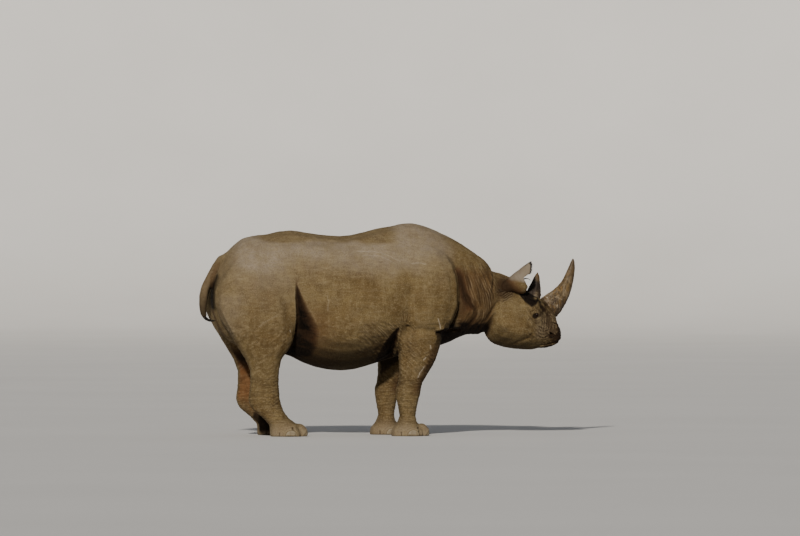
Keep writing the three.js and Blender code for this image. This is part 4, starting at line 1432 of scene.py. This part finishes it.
def skin_finish():
    """Dry thick hide: mud brown, lilac-grey dust above, red-brown in the hollows, cracked all over, with
    painted shade and highlight.
    """
    f = Finish("hide")
    patches = f.noise(2.6, 5, 0.6)
    blotches = f.noise(9, 3, 0.55)
    grain = f.noise(95, 3, 0.6, (1.0, 1.0, 0.45))
    streaks = f.noise(26, 4, 0.6, (1.0, 1.0, 0.28))
    brushed = f.noise(60, 3, 0.6, (0.13, 1.0, 1.0))
    specks = f.noise(120, 2, 0.7)
    plates = f.cracks(58, (1.0, 1.0, 1.35))
    f.colour = f.mix(f.remap(patches, 0.36, 0.64), (0.112, 0.070, 0.026), (0.162, 0.116, 0.051))
    f.paint(f.remap(blotches, 0.42, 0.64, 0.0, 0.60), (0.078, 0.048, 0.017))
    f.paint(f.times(f.tint("dust"), f.remap(blotches, 0.25, 0.75, 0.45, 1.0)), (0.270, 0.220, 0.165))
    f.paint(f.remap(streaks, 0.46, 0.70, 0.0, 0.40), (0.205, 0.155, 0.080))
    drawn = f.times(f.remap(brushed, 0.48, 0.66), f.remap(f.tint("dust"), 0.0, 0.8, 0.20, 0.50))
    f.paint(drawn, (0.245, 0.196, 0.118))
    f.paint(f.remap(specks, 0.54, 0.70, 0.0, 0.55), (0.250, 0.200, 0.112))
    f.paint(f.remap(specks, 0.46, 0.32, 0.0, 0.45), (0.070, 0.046, 0.017))
    f.paint(f.remap(grain, 0.42, 0.25, 0.0, 0.30), (0.055, 0.034, 0.014))
    f.paint(f.remap(plates, 0, 1, 0.20, 0.0), (0.050, 0.029, 0.013))
    f.paint(f.times(f.tint("warm"), f.remap(patches, 0.2, 0.8, 0.7, 1.0)), (0.085, 0.036, 0.015))
    f.paint(f.tint("rust"), (0.150, 0.062, 0.022))
    pale = f.mix(f.remap(blotches, 0.35, 0.65), (0.165, 0.132, 0.095), (0.205, 0.168, 0.125))
    f.paint(f.tint("ear"), pale)
    # Paler ridges: worn hide and painted highlight.
    f.paint(f.times(f.tint("ridge"), 0.42), (0.235, 0.182, 0.108))
    # The dark tint: darker hide on the muzzle, the tail and the ear rims, and painted shade underneath, in
    # pockets, cast shadows and round the eye.
    dark_hide_and_shade = f.mix(f.remap(grain, 0.35, 0.70), (0.002, 0.0015, 0.0012), (0.012, 0.008, 0.005))
    f.paint(f.tint("dark"), dark_hide_and_shade)
    # Painted shade in the creases.
    f.paint(f.times(f.tint("crease"), 0.78), (0.024, 0.013, 0.006))
    f.paint(f.tint("scratch"), (0.46, 0.40, 0.31))
    height = f.plus(f.times(plates, 0.40), f.times(f.cracks(150), 0.25))
    height = f.plus(height, f.times(grain, 0.5))
    normal = f.bump(height, 0.0016, 0.75, f.bump(streaks, 0.004, 0.5))
    roughness = f.maths("SUBTRACT", f.remap(grain, 0.2, 0.8, 0.94, 0.72), f.times(f.tint("ridge"), 0.1))
    return f.finish(roughness, normal, Specular_IOR_Level=0.08)


def horn_finish():
    """Packed hair, weathered: streaked along the horn, mottled and ragged at the base, with painted shade in
    front and the ear's painted shadow on the rear horn.
    """
    f = Finish("horn_fibre")
    streak = f.noise(70, 5, 0.65, (1.0, 1.0, 0.12))
    lines = f.noise(150, 3, 0.6, (1.0, 1.0, 0.10))
    fine = f.noise(420, 3, 0.6, (1.0, 1.0, 0.07))
    patch = f.noise(15, 5, 0.7, warp=0.5)
    flecks = f.noise(30, 4, 0.65, (1.0, 1.0, 0.45))
    streaked = f.remap(streak, 0.35, 0.65)
    f.colour = f.mix(streaked, (0.055, 0.033, 0.013), (0.165, 0.112, 0.048))
    pale = f.times(f.remap(patch, 0.49, 0.60), f.remap(f.tint("base"), 0.0, 1.0, 0.25, 1.0))
    f.paint(pale, (0.430, 0.345, 0.235))
    rust = f.times(f.remap(flecks, 0.52, 0.62, 0.0, 0.9), f.remap(patch, 0.58, 0.45, 0.3, 1.0))
    f.paint(rust, (0.215, 0.115, 0.030))
    f.paint(f.times(f.tint("base"), f.remap(flecks, 0.36, 0.50, 0.9, 0.0)), (0.035, 0.022, 0.014))
    f.paint(f.times(f.tint("tip"), 0.80), (0.062, 0.038, 0.018))
    # The ear's painted shadow on the rear horn.
    f.paint(f.tint("rear"), f.mix(streaked, (0.007, 0.005, 0.004), (0.026, 0.019, 0.013)))
    # Painted shade on the forward faces.
    f.paint(f.times(f.tint("front"), 0.78), (0.036, 0.024, 0.018))
    f.paint(f.remap(lines, 0.47, 0.37, 0.0, 0.75), (0.026, 0.017, 0.010))
    f.paint(f.times(f.tint("groove"), 0.55), (0.040, 0.027, 0.017))
    normal = f.bump(f.plus(streak, f.times(fine, 0.6)), 0.0015, 0.8)
    roughness = f.remap(f.plus(streak, f.tint("tip")), 0.3, 1.6, 0.74, 0.42)
    return f.finish(roughness, normal, Specular_IOR_Level=0.18)


def nail_finish():
    """Worn toenail: pale grey-brown, ringed as it grows, scuffed and dirty at its lower rim, with a painted
    highlight along its arch.
    """
    f = Finish("toenail")
    growth = f.noise(120, 3, 0.6, (0.25, 0.25, 1.6))
    scuffs = f.noise(48, 5, 0.7, warp=0.6)
    f.colour = f.mix(f.remap(scuffs, 0.3, 0.7), (0.140, 0.102, 0.052), (0.215, 0.170, 0.100))
    f.paint(f.remap(growth, 0.35, 0.65, 0.0, 0.45), (0.090, 0.062, 0.034))
    # A painted highlight along the arch.
    f.paint(f.times(f.tint("lunule"), 0.5), (0.250, 0.205, 0.130))
    f.paint(f.times(f.tint("rim"), 0.6), (0.070, 0.048, 0.028))
    normal = f.bump(f.plus(f.times(growth, 0.6), scuffs), 0.0012, 0.6)
    return f.finish(f.remap(scuffs, 0.25, 0.75, 0.40, 0.72), normal, Specular_IOR_Level=0.4)


def eye_finish():
    """A wet dark brown eye: a black pupil, a barely lighter iris and a brown rim."""
    f = Finish("wet_eye")
    threads = f.noise(420, 4, 0.7)
    f.colour = f.mix(f.tint("iris"), (0.022, 0.013, 0.008), (0.014, 0.0065, 0.0033))
    f.paint(f.remap(threads, 0.35, 0.75, 0.0, 0.6), (0.007, 0.003, 0.0015))
    f.paint(f.tint("pupil"), (0.0012, 0.001, 0.001))
    wet = {"Coat_Weight": 0.02, "Coat_Roughness": 0.05, "Specular_IOR_Level": 0.10}
    return f.finish(f.remap(threads, 0.2, 0.8, 0.10, 0.18), f.bump(threads, 0.0001, 0.15), **wet)


def hair_finish():
    """Coarse black hair, browner here and there."""
    f = Finish("coarse_hair")
    tone = f.noise(60, 3, 0.6)
    f.colour = f.mix(f.remap(tone, 0.35, 0.75), (0.010, 0.008, 0.007), (0.030, 0.021, 0.015))
    normal = f.bump(f.noise(900, 2), 0.0002, 0.3)
    return f.finish(f.remap(tone, 0.3, 0.7, 0.38, 0.55), normal, Specular_IOR_Level=0.4)


def stage_finish():
    """A pale matt floor, faintly uneven in tone."""
    f = Finish("pale_stage")
    tone = f.noise(0.35, 3, 0.5)
    f.colour = f.mix(f.remap(tone, 0.3, 0.7), (0.57, 0.555, 0.53), (0.60, 0.585, 0.56))
    return f.finish(0.92, f.bump(f.noise(3, 4), 0.004, 0.2), Specular_IOR_Level=0.1)


def dressed(obj, material, slot, *nodes):
    obj.data.materials.append(material)
    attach(obj, "root")
    if nodes:
        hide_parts(*nodes)
    return obj


# ---------------------------------------------------------------- stage, light and camera
# The stage: how far its floor is flat, the radius of the curve up to its wall, and the wall's top.
FLOOR_REACH, WALL_CURVE, WALL_TOP = 70.0, 14.0, 30.0
STAGE_SIDES = 96


def make_stage():
    """A round pale floor that curves up into a low wall beyond every camera."""
    turn = np.linspace(0, np.pi / 2, 13)
    out = np.array([3.0, 12.0, 35.0, *(FLOOR_REACH + WALL_CURVE * np.sin(turn)), FLOOR_REACH + WALL_CURVE])
    up = np.array([0.0, 0.0, 0.0, *(WALL_CURVE * (1 - np.cos(turn))), WALL_TOP])
    way = np.linspace(0, 2 * np.pi, STAGE_SIDES, endpoint=False)
    rings = [np.outer(out, np.cos(way)), np.outer(out, np.sin(way)), np.outer(up, np.ones(STAGE_SIDES))]
    points = np.concatenate([np.stack(rings, axis=2).reshape(-1, 3), np.zeros((1, 3))])
    c = np.arange(STAGE_SIDES)
    n = (c + 1) % STAGE_SIDES
    middle_fan = np.stack([np.full(STAGE_SIDES, len(points) - 1), c, n, n], axis=1)
    quads = np.concatenate([ring_quads(len(out), STAGE_SIDES)[:, [0, 3, 2, 1]], middle_fan])
    floor = mesh_object("stage_floor", points, quads)
    floor.data.materials.append(stage_finish())


SUN_FROM, SUN_STRENGTH, SUN_WIDE = Vector((-0.26, -0.85, 0.455)), 4.15, math.radians(3)
SUN_COLOUR, SKY_COLOUR, SKY_STRENGTH = (1.0, 0.955, 0.88), (0.80, 0.87, 1.0, 1.0), 0.22


def make_light():
    """A soft warm key light from the photo's side of the animal, under a dim blue sky."""
    sun = bpy.data.lights.new("key", "SUN")
    sun.energy = SUN_STRENGTH
    sun.angle = SUN_WIDE
    sun.color = SUN_COLOUR
    in_scene("key", sun).rotation_euler = SUN_FROM.to_track_quat("Z", "Y").to_euler()
    world = bpy.data.worlds.new("soft_sky")
    world.use_nodes = True
    sky = world.node_tree.nodes["Background"]
    sky.inputs["Color"].default_value = SKY_COLOUR
    sky.inputs["Strength"].default_value = SKY_STRENGTH
    bpy.context.scene.world = world


# The camera: how far off it stands, how far round to the rear, its height, its lens and what it looks at.
CAMERA_AWAY, CAMERA_TURN, CAMERA_HEIGHT, LENS = 50.66, math.radians(8.5), 1.325, 300
AIM = Vector(ORIGIN) + Vector((-0.008, 0.0, 1.279))


def make_camera():
    """A long lens, low down, a little behind the animal's right side."""
    lens = bpy.data.cameras.new("camera")
    lens.lens = LENS
    lens.sensor_width = 36
    lens.clip_end = 500
    camera = in_scene("camera", lens)
    ground = Vector((math.sin(-CAMERA_TURN), -math.cos(CAMERA_TURN), 0)) * CAMERA_AWAY
    camera.location = Vector((AIM.x, AIM.y, CAMERA_HEIGHT)) + ground
    camera.rotation_euler = (AIM - camera.location).to_track_quat("-Z", "Y").to_euler()
    bpy.context.scene.camera = camera


# ---------------------------------------------------------------- the whole animal
make_camera()
make_light()
make_stage()
HIDE, HORN, NAIL, EYE, HAIR = skin_finish(), horn_finish(), nail_finish(), eye_finish(), hair_finish()

skin = make_skin()
dressed(mesh_object("hide", *joined([skin, *(ear_mesh(e) for e in EARS)])), HIDE, "skin", *FLESH, *EARS)
skin.find = skin_tree(skin).find
for horn in ("horn_front", "horn_rear"):
    make_horn(horn, skin)
for nail in NAILS:
    make_nail(nail)
for side in (-1, 1):
    make_eye(side)
    make_lashes(side)
for ear in EARS:
    ear_fringe(ear)
make_tail_tuft()
